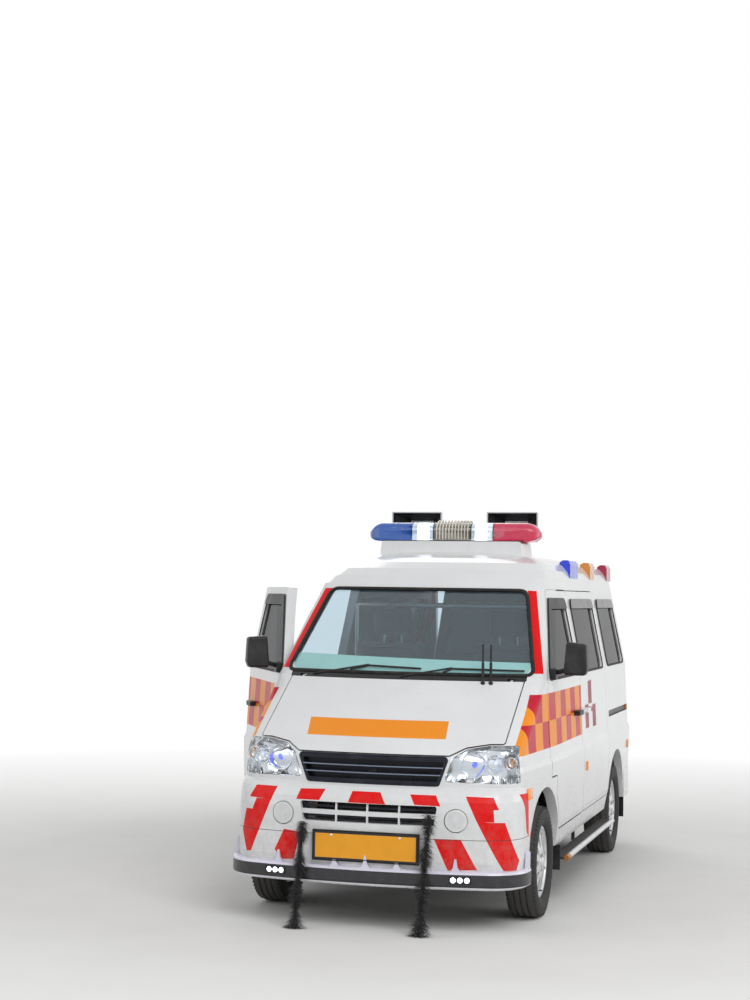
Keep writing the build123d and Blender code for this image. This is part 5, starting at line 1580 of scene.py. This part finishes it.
@dataclass
class RoofGear:
    """Light bar fittings, horn plugs and rims."""

    bar_half: float = 0.493
    bar_front: float = -0.195
    bar_back: float = -0.035
    bar_bottom: float = 1.858
    nose: float = 0.084
    nose_height: float = 1.903
    horn_x: float = 0.280
    horn_mouth: float = 0.100
    horn_middle: float = 1.951

    def lenses(self, frame: dict, paints: Paints) -> None:
        """The five lenses, whose outer ends are drawn down to a bullet's nose."""
        shape = Shaper.of_node(frame, "light_bar_lens", "light_bar_lenses")
        start = self.bar_half - self.nose
        for k in range(9):
            place = start + self.nose * math.sin(math.pi * k / 18)
            for x in (-place, place):
                shape.slice((x, 0.0, 0.0), (1.0, 0.0, 0.0))
        for z in (self.nose_height, self.nose_height - 0.025, self.nose_height + 0.030):
            shape.slice((0.0, 0.0, z), (0.0, 0.0, 1.0))
        mesh = bmesh.from_edit_mesh(shape.object.data)
        for vertex in mesh.verts:
            past = (abs(vertex.co.x) - start) / self.nose
            if past > 0.0:
                share = max(math.sqrt(max(1.0 - past * past, 0.0)), 0.10)
                vertex.co.z = self.nose_height + (vertex.co.z - self.nose_height) * share
        bmesh.update_edit_mesh(shape.object.data)
        seat(shape.done(paints["bar"], 40), "root", replaces=["light_bar_lens"])

    def bar(self, frame: dict, paints: Paints) -> None:
        """Seal under the lenses, joints between them and the ribs of the middle one."""
        middle = (self.bar_back + self.bar_front) / 2
        run, low = self.bar_half - self.nose - 0.010, self.bar_bottom + 0.003
        line = [(run, self.bar_front + 0.002, low), (run, self.bar_back - 0.002, low)]
        line += [(-x, 2 * middle - y, z) for x, y, z in line]
        seat(tube("bar_seal", line, 0.0040, paints["rubber"], closed=True), "root")
        skin = Surface(frame, "light_bar_lens")
        hub = Vector((0.0, middle, self.bar_bottom + 0.050))

        def over(x: float, proud: float) -> list[Vector]:
            """Points over the bar at one place across."""
            spots = []
            for k in range(27):
                angle = math.radians(-25 + 230 * k / 26)
                way = Vector((0.0, -math.cos(angle), math.sin(angle)))
                start = hub + way * 0.25 + Vector((x, 0.0, 0.0))
                spots.append(skin.hit(start, -way) + way * proud)
            return spots

        places = (-0.232, -0.108, 0.108, 0.232)
        rings = [tube("joint", over(x, 0.0), 0.0024, paints["smoked"]) for x in places]
        seat(joined("bar_joints", rings), "root")
        ribs = [tube("rib", over(k * 0.0178, 0.0004), 0.0040, paints["bar_rib"]) for k in range(-5, 6)]
        seat(joined("bar_ribs", ribs), "root")

    def horns(self, paints: Paints) -> None:
        """Bright rims and pale plugs in the horns' mouths, and their foot bolts."""
        for i, x in enumerate((-self.horn_x, self.horn_x)):
            low, high = self.horn_middle - 0.083, self.horn_middle + 0.083
            mouth = ((x - 0.146, low), (x + 0.146, low), (x + 0.146, high), (x - 0.146, high))
            line = [(a, self.horn_mouth + 0.002, b) for a, b in rounded(mouth, 0.004, -0.0015, 0.1)]
            things = [tube("rim", line, 0.0038, paints["horn"], closed=True)]
            plug = Shaper("plug").lathe((x, self.horn_mouth + 0.150, self.horn_middle - 0.012), (0, -1, 0), (
                (0.0, 0.026), (0.090, 0.034), (0.110, 0.034), (0.122, 0.028), (0.128, 0.016),
                (0.129, 0.0)), 36)
            things.append(plug.done(paints["plug"], 40))
            for dy in (0.12, 0.22):
                for dx in (-0.045, 0.045):
                    bolt = Shaper("bolt").lathe((x + dx, self.horn_mouth + dy, 1.8055), (0, 0, 1), (
                        (-0.001, 0.008), (0.004, 0.008), (0.006, 0.006), (0.006, 0.0)), 6)
                    things.append(bolt.done(paints["steel"], 25))
            seat(joined(f"horn_dress_{i}", things), "root")

    def liner(self, frame: dict, paints: Paints) -> None:
        """Dark inner skins of the horns."""
        shape = Shaper.of_node(frame, "horn_speakers", "horn_liners")

        def outside(middle: Vector, normal: Vector) -> bool:
            """Whether a face looks away from its horn's axis, or is near the rim or the foot."""
            side = Vector((math.copysign(self.horn_x, middle.x) - middle.x, 0.0, self.horn_middle - middle.z))
            return normal.dot(side) < 0.001 or middle.y < self.horn_mouth + 0.004 or side.length > 0.17

        shape.pick(outside).remove()
        seat(shape.done(paints["black"], 40, thickness=-0.0008), "root")

    def build(self, frame: dict, paints: Paints) -> None:
        """Make the roof's dress."""
        self.liner(frame, paints)
        self.bar(frame, paints)
        self.lenses(frame, paints)
        self.horns(paints)


@dataclass
class Doors:
    """Mirror glasses, inner cards, pulls and locks of the doors."""

    mirror_y: float = -0.9505
    mirror: Outline = ((0.786, 1.190), (0.880, 1.200), (0.874, 1.306), (0.792, 1.314))
    card: Outline = ((-0.80, 0.72), (-0.14, 0.50), (-0.14, 1.08), (-0.92, 1.08))
    lock: Pair = (-0.165, 0.937)

    def build(self, frame: dict, paints: Paints, hinge: Matrix) -> None:
        """Make the left door's pieces and turn copies to the open right door.

        Args:
            frame: The loaded frame.
            paints: The finishes.
            hinge: The turn of the open right door.
        """
        glass = Shaper("mirror_glass_left").plate([(x, self.mirror_y, z) for x, z in self.mirror])
        glass.all().extrude((0.0, 0.003, 0.0)).inset(0.004).move((0.0, 0.0008, 0.0)).outwards()
        things = [(glass.done(paints["mirror"], bevel=0.0015), "tube_steel")]
        skin = Surface(frame, "front_door_left")
        inner = [skin.hit((0.2, y, z), (1, 0, 0)) for y, z in self.card]
        card = Shaper("door_card_left").plate([spot + Vector((-0.0005, 0, 0)) for spot in inner])
        card.all().extrude((-0.008, 0.0, 0.0)).inset(0.02).move((-0.003, 0.0, 0.0))
        card.inset(0.05).move((0.003, 0.0, 0.0)).outwards()
        things.append((card.done(paints["trim"], bevel=0.003), "cabin_grey"))
        wall = skin.hit((0.2, -0.40, 0.85), (1, 0, 0)).x - 0.008
        rest = Shaper("door_pull_left").box((wall - 0.045, -0.62, 0.830), (wall, -0.30, 0.862))
        rest.pick(lambda c, n: n.x < -0.9).scale((1.0, 0.8, 0.6), (0.0, -0.46, 0.85))
        things.append((rest.done(paints["trim"], bevel=0.008), "cabin_grey"))
        face = skin.side(*self.lock).x - 0.001
        keyhole = Shaper("door_lock_left").lathe((face, *self.lock), (1, 0, 0), (
            (0.0, 0.011), (0.003, 0.011), (0.004, 0.009), (0.004, 0.003), (0.002, 0.002), (0.002, 0.0)), 24)
        things.append((keyhole.done(paints["chrome"], 30), "tube_steel"))
        for thing, slot in things:
            twin = copied(thing, thing.name.replace("left", "right"), hinge @ MIRROR)
            seat(thing, "front_door_left")
            seat(twin, "front_door_right")


@dataclass
class Rear:
    """Rear plate, its lamps, reflectors and the high brake lamp."""

    plate_half: float = 0.250
    plate_low: float = 0.530
    plate_high: float = 0.650
    reflector_x: float = 0.52
    reflector_height: float = 0.39

    def build(self, frame: dict, paints: Paints) -> None:
        """Make the tailgate's and bumper's dress."""
        gate = Surface(frame, "tailgate")
        y = gate.rear(0.0, 0.59).y
        low = (-self.plate_half, y - 0.002, self.plate_low)
        high = (self.plate_half, y + 0.006, self.plate_high)
        plate = Shaper("rear_plate").box(low, high)
        plate.pick(lambda c, n: n.y > 0.9).inset(0.007).move((0.0, -0.0016, 0.0)).inset(0.002)
        seat(plate.done(paints["rear_plate"], bevel=0.0012), "tailgate")
        hood = Shaper("plate_lamp").box((-0.19, y - 0.004, 0.664), (0.19, y + 0.020, 0.690))
        hood.pick(lambda c, n: n.y > 0.9).scale((0.94, 1.0, 0.5), (0.0, 0.0, 0.688))
        seat(hood.done(paints["white"], bevel=0.004), "tailgate")
        y = gate.rear(0.0, 1.558).y
        brake = Shaper("high_brake_lamp").box((-0.11, y - 0.004, 1.546), (0.11, y + 0.012, 1.570))
        brake.pick(lambda c, n: n.y > 0.9).inset(0.003).move((0.0, 0.001, 0.0))
        seat(brake.done(paints["red_lens"], bevel=0.002), "tailgate")
        skin = Surface(frame, "rear_bumper")
        things = []
        for x in (-self.reflector_x, self.reflector_x):
            y = skin.rear(x, self.reflector_height).y
            shape = Shaper("reflector").box((x - 0.045, y - 0.006, 0.373), (x + 0.045, y + 0.006, 0.407))
            shape.pick(lambda c, n: n.y > 0.9).inset(0.003).move((0.0, 0.001, 0.0))
            # painted light: the red lens finish makes this reflector glow
            things.append(shape.done(paints["red_lens"], bevel=0.0015))
        seat(joined("rear_reflectors", things), "root")


@dataclass
class Pads:
    """Seat pads, mattress and bench pad, swollen by cloth pressure, with piping."""

    frames: int = 20
    seat_x: float = 0.330
    back_foot: float = 0.88
    back_height: float = 0.418
    back_lean: float = 0.062
    belt_places: Pair = (0.45, 1.10)

    def swell(self, thing: bpy.types.Object, cap: float, low: Point, high: Point,
              voxel: float = 0.006) -> None:
        """Remesh a pad and let pressure crown it.

        Args:
            thing: The pad.
            cap: Furthest that a point may move.
            low: The corner that it stays within.
            high: The other corner.
            voxel: Size of its new faces.
        """
        bpy.context.view_layer.objects.active = thing
        thing.select_set(True)
        remesh = thing.modifiers.new("voxels", "REMESH")
        remesh.mode = "VOXEL"
        remesh.voxel_size = voxel
        bpy.ops.object.modifier_apply(modifier=remesh.name)
        before = [vertex.co.copy() for vertex in thing.data.vertices]
        cloth = thing.modifiers.new("swell", "CLOTH")
        cloth.settings.use_pressure = True
        cloth.settings.uniform_pressure_force = 4.0
        cloth.settings.effector_weights.gravity = 0.0
        cloth.point_cache.frame_start = 1
        cloth.point_cache.frame_end = self.frames
        for moment in range(1, self.frames + 1):
            bpy.context.scene.frame_set(moment)
        bpy.ops.object.modifier_apply(modifier=cloth.name)
        bpy.context.scene.frame_set(1)
        for vertex, old in zip(thing.data.vertices, before):
            step = vertex.co - old
            if step.length > cap:
                vertex.co = old + step.normalized() * cap
        for vertex in thing.data.vertices:
            vertex.co = [min(max(c, a), b) for c, a, b in zip(vertex.co, low, high)]
        smooth = thing.modifiers.new("even", "SMOOTH")
        smooth.iterations = 6
        bpy.ops.object.modifier_apply(modifier=smooth.name)
        fine = thing.modifiers.new("fine", "SUBSURF")
        fine.levels = fine.render_levels = 1
        bpy.ops.object.modifier_apply(modifier=fine.name)
        bpy.ops.object.shade_smooth()
        deselect()

    def piping(self, name: str, pad: bpy.types.Object, start: Sequence[Point], way: Point,
               finish: bpy.types.Material) -> bpy.types.Object:
        """A bead of piping laid on a pad.

        Args:
            name: The piece's name.
            pad: The pad.
            start: A closed line outside the pad.
            way: The way in which the line is dropped on it.
            finish: Its finish.

        Returns:
            The bead.
        """
        faces = [tuple(polygon.vertices) for polygon in pad.data.polygons]
        tree = BVHTree.FromPolygons([vertex.co for vertex in pad.data.vertices], faces)
        line = []
        for spot in start:
            place = tree.ray_cast(Vector(spot), Vector(way))[0]
            if place is not None:
                line.append(place)
        return tube(name, line, 0.0032, finish, closed=True)

    def block(self, name: str, low: Point, high: Point, shrink: float,
              finish: bpy.types.Material) -> bpy.types.Object:
        """A softened block a little smaller than the room of a pad."""
        shape = Shaper(name).box([a + shrink for a in low], [b - shrink for b in high])
        shape.all().cut(3)
        return shape.done(finish, bevel=0.012)

    def seats(self, paints: Paints) -> None:
        """Both front seats: cushion, back and head rest with piping and stems."""
        cloth, x = paints["cloth"], self.seat_x
        low, high = (x - 0.225, -0.690, 0.7603), (x + 0.225, -0.300, 0.870)
        cushion = self.block("seat_cushion_left", low, (high[0], high[1], 0.862), 0.008, cloth)
        self.swell(cushion, 0.016, low, high)
        left, right, front, rear = low[0] + 0.045, high[0] - 0.045, low[1] + 0.04, high[1] - 0.03
        ring = rounded(((left, front), (right, front), (right, rear), (left, rear)), 0.05)
        line = [(a, b, 1.0) for a, b in ring]
        things = [self.piping("piping", cushion, line, (0, 0, -1), paints["black"])]
        back = Shaper("seat_back_left").box((x - 0.207, -0.318, 0.880), (x + 0.207, -0.228, 1.298))
        back.all().cut(4)
        mesh = bmesh.from_edit_mesh(back.object.data)
        for vertex in mesh.verts:
            share = (vertex.co.z - self.back_foot) / self.back_height
            vertex.co.y += self.back_lean * share
            vertex.co.x = x + (vertex.co.x - x) * (1.0 - 0.10 * share * share)
        bmesh.update_edit_mesh(back.object.data)
        back = back.done(cloth, bevel=0.012)
        self.swell(back, 0.016, (x - 0.215, -0.335, 0.8703), (x + 0.215, -0.160, 1.310))
        ring = rounded(((x - 0.15, 0.92), (x + 0.15, 0.92), (x + 0.135, 1.26), (x - 0.135, 1.26)), 0.05)
        line = [(a, -0.6, b) for a, b in ring]
        things.append(self.piping("piping_back", back, line, (0, 1, 0), paints["black"]))
        low, high = (x - 0.110, -0.240, 1.330), (x + 0.110, -0.160, 1.480)
        head = self.block("head_rest_left", low, high, 0.006, cloth)
        self.swell(head, 0.010, low, high)
        for a in (-0.05, 0.05):
            stem = ((x + a, -0.200, 1.27), (x + a, -0.200, 1.345))
            things.append(tube("stem", stem, 0.006, paints["steel"]))
        trim = joined("seat_trim_left", things)
        other_side = Matrix.Translation((-0.660, 0.0, 0.0))
        for thing in (cushion, back, head, trim):
            twin = copied(thing, thing.name.replace("left", "right"), other_side)
            for piece in (thing, twin):
                seat(piece, "root", ["front_seats"] if piece is cushion else ())

    def bench(self, frame: dict, paints: Paints) -> None:
        """The attendant's bench with its pad."""
        self.keep_frame(frame, "bench", "bench_base", paints["trim"], 0.81)
        low, high = (0.280, 0.060, 0.8003), (0.600, 1.500, 0.870)
        bench = self.block("bench_pad", low, (high[0], high[1], 0.864), 0.007, paints["vinyl"])
        self.swell(bench, 0.012, low, high, 0.010)
        seat(bench, "root")

    def stretcher(self, frame: dict, paints: Paints) -> None:
        """The stretcher with its mattress and belts."""
        self.keep_frame(frame, "stretcher", "stretcher_frame", paints["bright"], 0.93)
        low, high = (-0.500, 0.040, 0.9103), (-0.080, 1.620, 0.9823)
        mattress = self.block("mattress", low, (high[0], high[1], 0.978), 0.007, paints["cover"])
        self.swell(mattress, 0.012, low, high, 0.010)
        seat(mattress, "root")
        over = ((-0.508, 0.915), (-0.505, 0.975), (-0.485, 0.9845), (-0.29, 0.987), (-0.095, 0.9845),
                (-0.075, 0.975), (-0.072, 0.915))
        belts = []
        for y in self.belt_places:
            strap = tube("belt", [(a, y, b) for a, b in over], 0.004, paints["strap"])
            wider = Matrix.Diagonal((1, 6, 1, 1))
            strap.data.transform(Matrix.Translation((0, y, 0)) @ wider @ Matrix.Translation((0, -y, 0)))
            belts.append(strap)
        seat(joined("stretcher_belts", belts), "root")

    def keep_frame(self, frame: dict, node: str, name: str, finish: bpy.types.Material, height: float) -> None:
        """Keep the hard solids of a node whose pad is remade.

        Args:
            frame: The loaded frame.
            node: The node.
            name: The new piece's name.
            finish: Its finish.
            height: Solids that reach above this are left out.
        """
        shape = Shaper.of_node(frame, node, name)
        mesh = bmesh.from_edit_mesh(shape.object.data)
        for vertex in mesh.verts:
            vertex.select_set(vertex.co.z > height)
        bmesh.update_edit_mesh(shape.object.data)
        bpy.ops.mesh.select_mode(type="VERT")
        bpy.ops.mesh.select_linked()
        bpy.ops.mesh.delete(type="VERT")
        seat(shape.done(finish, 35), "root", [node])

    def build(self, frame: dict, paints: Paints) -> None:
        """Make every pad and put it in place of its plain solid."""
        self.seats(paints)
        self.bench(frame, paints)
        self.stretcher(frame, paints)


@dataclass
class Cabin:
    """Instrument hood, vents and gear lever."""

    vent_places: tuple[float, ...] = (-0.54, -0.09, 0.09, 0.54)
    slats: int = 3

    def build(self, paints: Paints) -> None:
        """Make the dash's pieces."""
        hood = Shaper("instrument_hood").box((-0.47, -1.06, 1.050), (-0.19, -0.93, 1.105))
        hood.pick(lambda c, n: n.z > 0.9).scale((0.82, 0.7, 1.0), (-0.33, -1.02, 1.105))
        hood.pick(lambda c, n: n.y > 0.6).inset(0.010).move((0.0, -0.03, 0.0))
        things = [hood.done(paints["trim"], bevel=0.008)]
        for x in self.vent_places:
            vent = Shaper("vent").box((x - 0.05, -0.925, 0.985), (x + 0.05, -0.880, 1.035))
            vent.pick(lambda c, n: n.y > 0.9).inset(0.006).move((0.0, -0.012, 0.0))
            things.append(vent.done(paints["trim"], bevel=0.003))
            for k in range(self.slats):
                z = 0.993 + k * 0.013
                slat = Shaper("slat").box((x - 0.043, -0.896, z), (x + 0.043, -0.884, z + 0.003))
                slat.pick(lambda c, n: n.y > 0.9).move((0, 0.002, -0.003))
                things.append(slat.done(paints["trim"]))
        seat(joined("dash_dress", things), "root")
        line = ((0.0, -0.86, 0.440), (0.0, -0.86, 0.60), (0.0, -0.83, 0.72))
        lever = tube("gear_lever", line, 0.007, paints["steel"])
        knob = Shaper("knob").lathe((0.0, -0.832, 0.712), (0.0, 0.25, 1.0), (
            (0.0, 0.010), (0.012, 0.022), (0.032, 0.024), (0.045, 0.014), (0.048, 0.0)), 24)
        seat(joined("gear_lever_set", [lever, knob.done(paints["trim"], 50)]), "root")


BLADE = ((0, 2, 1), (3, 4, 6), (4, 5, 6), (5, 3, 6), (0, 1, 4, 3), (1, 2, 5, 4), (2, 0, 3, 5))


@dataclass
class Tassels:
    """Two hanging garlands of black tinsel: bundles of fine blades round a core."""

    # columns: top x, top height, foot x, girth at top, girth at foot
    runs: tuple[tuple[float, float, float, float, float], ...] = (
        (-0.300, 0.494, -0.332, 0.038, 0.060), (0.308, 0.553, 0.266, 0.042, 0.064))
    foot: float = 0.012
    levels: int = 62
    blades: int = 34
    bow: float = 2.537
    nose: float = -1.8615

    def build(self, paints: Paints) -> None:
        """Make both garlands."""
        dice = random.Random(7)
        for i, (x0, z0, x1, girth0, girth1) in enumerate(self.runs):
            points: list[Vector] = []
            faces: list[tuple[int, ...]] = []
            mid = (x0 + x1) / 2
            y = self.nose + self.bow - math.sqrt(self.bow ** 2 - mid * mid) - 0.0286
            for level in range(self.levels):
                share = level / (self.levels - 1)
                core = Vector((x0 + (x1 - x0) * share, y, z0 + (self.foot - z0) * share))
                lump = 0.80 + 0.30 * math.sin(share * 21.0 + i) + dice.uniform(-0.08, 0.08)
                reach = (girth0 + (girth1 - girth0) * share ** 3) * lump
                for _ in range(self.blades):
                    angle = dice.uniform(0, math.tau)
                    way = Vector((math.cos(angle), math.sin(angle) * 0.62, dice.uniform(-0.9, 0.35)))
                    length = reach * dice.uniform(0.7, 1.15)
                    side = Vector((-way.y, way.x, 0.0)).normalized() * dice.uniform(0.0012, 0.0022)
                    drop = Vector((0.0, 0.0, -length * dice.uniform(0.15, 0.5)))
                    start = len(points)
                    middle = core + way * length * 0.55 + drop * 0.3
                    end = core + way * length + drop
                    end.z = max(end.z, 0.003)
                    lift = Vector((0.0, 0.0, 0.0010))
                    for spot in (core, middle):
                        points += [spot - side, spot + side, spot + lift]
                    points.append(end)
                    faces += [tuple(start + corner for corner in face) for face in BLADE]
            mesh = bpy.data.meshes.new(f"tassel_{i}")
            mesh.from_pydata(points, [], faces)
            mesh.materials.append(paints["yarn"])
            thing = bpy.data.objects.new(f"tassel_{i}", mesh)
            bpy.context.scene.collection.objects.link(thing)
            seat(thing, "root", ["tassels"] if i == 0 else ())


# Studio


@dataclass
class Studio:
    """Camera at the photograph's angle, white surroundings and plain soft light."""

    lens: float = 63.55
    camera_place: Point = (2.280, -9.765, 1.555)
    yaw: float = math.radians(-15.9164)
    pitch: float = math.radians(3.0712)
    roll: float = math.radians(0.8706)
    floor_colour: Colour = (0.80, 0.80, 0.79)
    daylight: float = 0.42

    def camera(self) -> bpy.types.Object:
        """Set the camera.

        Returns:
            The camera object.
        """
        flat = math.cos(self.pitch)
        forward = Vector((math.sin(self.yaw) * flat, math.cos(self.yaw) * flat, math.sin(self.pitch)))
        right = Vector((math.cos(self.yaw), -math.sin(self.yaw), 0.0))
        up = right.cross(forward)
        across = right * math.cos(self.roll) + up * math.sin(self.roll)
        above = -right * math.sin(self.roll) + up * math.cos(self.roll)
        data = bpy.data.cameras.new("camera")
        data.lens = self.lens
        data.sensor_width = 36.0
        camera = bpy.data.objects.new("camera", data)
        bpy.context.scene.collection.objects.link(camera)
        turn = Matrix((across, above, -forward)).transposed().to_4x4()
        camera.matrix_world = Matrix.Translation(self.camera_place) @ turn
        bpy.context.scene.camera = camera
        return camera

    def lights(self) -> None:
        """Soft box lights round the van."""
        # columns: name, place, aim, width, power
        boxes = (
            ("key_light", (4.0, -6.5, 5.5), (0.0, 0.0, 0.9), 5.0, 345.0),
            ("fill_light", (-6.0, -5.0, 3.5), (0.0, 0.0, 0.9), 5.0, 90.0),
            ("back_light", (-3.0, 6.5, 5.0), (0.0, 0.0, 1.0), 5.0, 190.0),
            ("side_light", (7.0, 1.5, 3.0), (0.0, 0.3, 0.9), 4.0, 110.0),
        )
        for name, place, aim, width, power in boxes:
            data = bpy.data.lights.new(name, "AREA")
            data.shape = "SQUARE"
            data.size = width
            data.energy = power
            lamp = bpy.data.objects.new(name, data)
            lamp.location = place
            lamp.rotation_euler = (Vector(aim) - Vector(place)).to_track_quat("-Z", "Y").to_euler()
            bpy.context.scene.collection.objects.link(lamp)

    def seen(self, net: Net) -> Flow:
        """One for rays that show a thing to the camera, straight, by gloss or through glass."""
        path = net.node("ShaderNodeLightPath", out="Is Camera Ray")
        outputs = path.socket.node.outputs
        return path | Flow(net, outputs["Is Glossy Ray"]) | Flow(net, outputs["Is Transmission Ray"])

    def world(self) -> None:
        """Even light, with a white background."""
        net = Net(bpy.data.worlds.new("studio"))
        bpy.context.scene.world = net.owner
        strength = self.seen(net) * (1.0 - self.daylight) + self.daylight
        back = net.node("ShaderNodeBackground", None, {"Color": (1.0, 1.0, 1.0), "Strength": strength})
        net.close(back, "ShaderNodeOutputWorld")

    def floor(self) -> None:
        """A pale floor with a fine grain that fades to white far from the van."""
        net = Net(bpy.data.materials.new("studio_floor"))
        spot = net.place()
        x, y, _ = net.axes(spot)
        tone = net.noise(spot, 3.0, 4.0).fit(0.3, 0.7, 0.97, 1.0)
        away = ((x * x) + (y * y)).power(0.5).fit(2.6, 8.0)
        colour = net.mix(tone * (1.0 - away), (0.0, 0.0, 0.0), self.floor_colour)
        glow = net.mix(away * self.seen(net), (0.0, 0.0, 0.0), (1.0, 1.0, 1.0))
        net.surface(Base_Color=colour, Roughness=0.85, Emission_Color=glow, Emission_Strength=1.0,
                    Specular_IOR_Level=0.0)
        deselect()
        bpy.ops.mesh.primitive_plane_add(size=120.0, location=(0.0, 0.0, 0.0))
        floor = bpy.context.active_object
        floor.name = "studio_floor"
        floor.data.materials.append(net.owner)

    def build(self) -> None:
        """Make the whole studio."""
        self.camera()
        self.lights()
        self.world()
        self.floor()
        bpy.context.scene.view_settings.view_transform = "Standard"


def paint_nodes(frame: dict, paints: Paints) -> None:
    """Give each construction node that stays its finish.

    Args:
        frame: The loaded frame.
        paints: The finishes.
    """
    plan = {
        "side": ("side_left", "side_right"), "door": ("front_door_left",), "open_door": ("front_door_right",),
        "slide": ("sliding_door_left", "sliding_door_right"), "nose": ("front_panel",), "bonnet": ("bonnet",),
        "bumper": ("front_bumper",), "lip": ("front_guard",),
        "white": ("roof", "tailgate", "rear_bumper", "light_bar_base"), "screen": ("windscreen",),
        "dark_glass": ("fixed_side_glass", "door_glass_left", "door_glass_right", "tailgate_glass"),
        "black": ("door_trim_left", "door_trim_right", "wipers", "bonnet_aerials"),
        "smoked": ("side_visors",), "navy": ("grille",), "tail": ("tail_lamps",),
        "roof_lamp": ("roof_side_lamps",), "horn": ("horn_speakers",),
        "alloy_front": ("rim_front_left", "rim_front_right"),
        "alloy_rear": ("rim_rear_left", "rim_rear_right"),
        "seal": ("knuckle_left", "knuckle_right", "front_suspension", "rear_axle", "powertrain"),
        "pipe": ("exhaust",), "mat": ("floor_pan",), "dash": ("dashboard",), "trim": ("steering_wheel",),
        "steel": ("partition",),
        "step": ("side_steps",), "rubber": ("mud_flaps",)}
    for finish, names in plan.items():
        dress(frame, paints[finish], *names)


def main() -> None:
    """Build every part in order."""
    logging.basicConfig(level=logging.INFO, format="%(message)s")
    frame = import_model()
    pivot = Vector((-0.704, -1.0105, 0.0))
    opened = math.radians(30.0)
    hinge = turned(opened, pivot)
    paints = Paints(-opened, tuple(pivot))
    paint_nodes(frame, paints)
    Wheels().build(paints)
    Windows().build(frame, paints, hinge)
    FrontEnd().build(frame, paints)
    Headlamps().build(frame, paints)
    RoofGear().build(frame, paints)
    Doors().build(frame, paints, hinge)
    Rear().build(frame, paints)
    Pads().build(frame, paints)
    Cabin().build(paints)
    Tassels().build(paints)
    Studio().build()


if __name__ == "__main__":
    main()
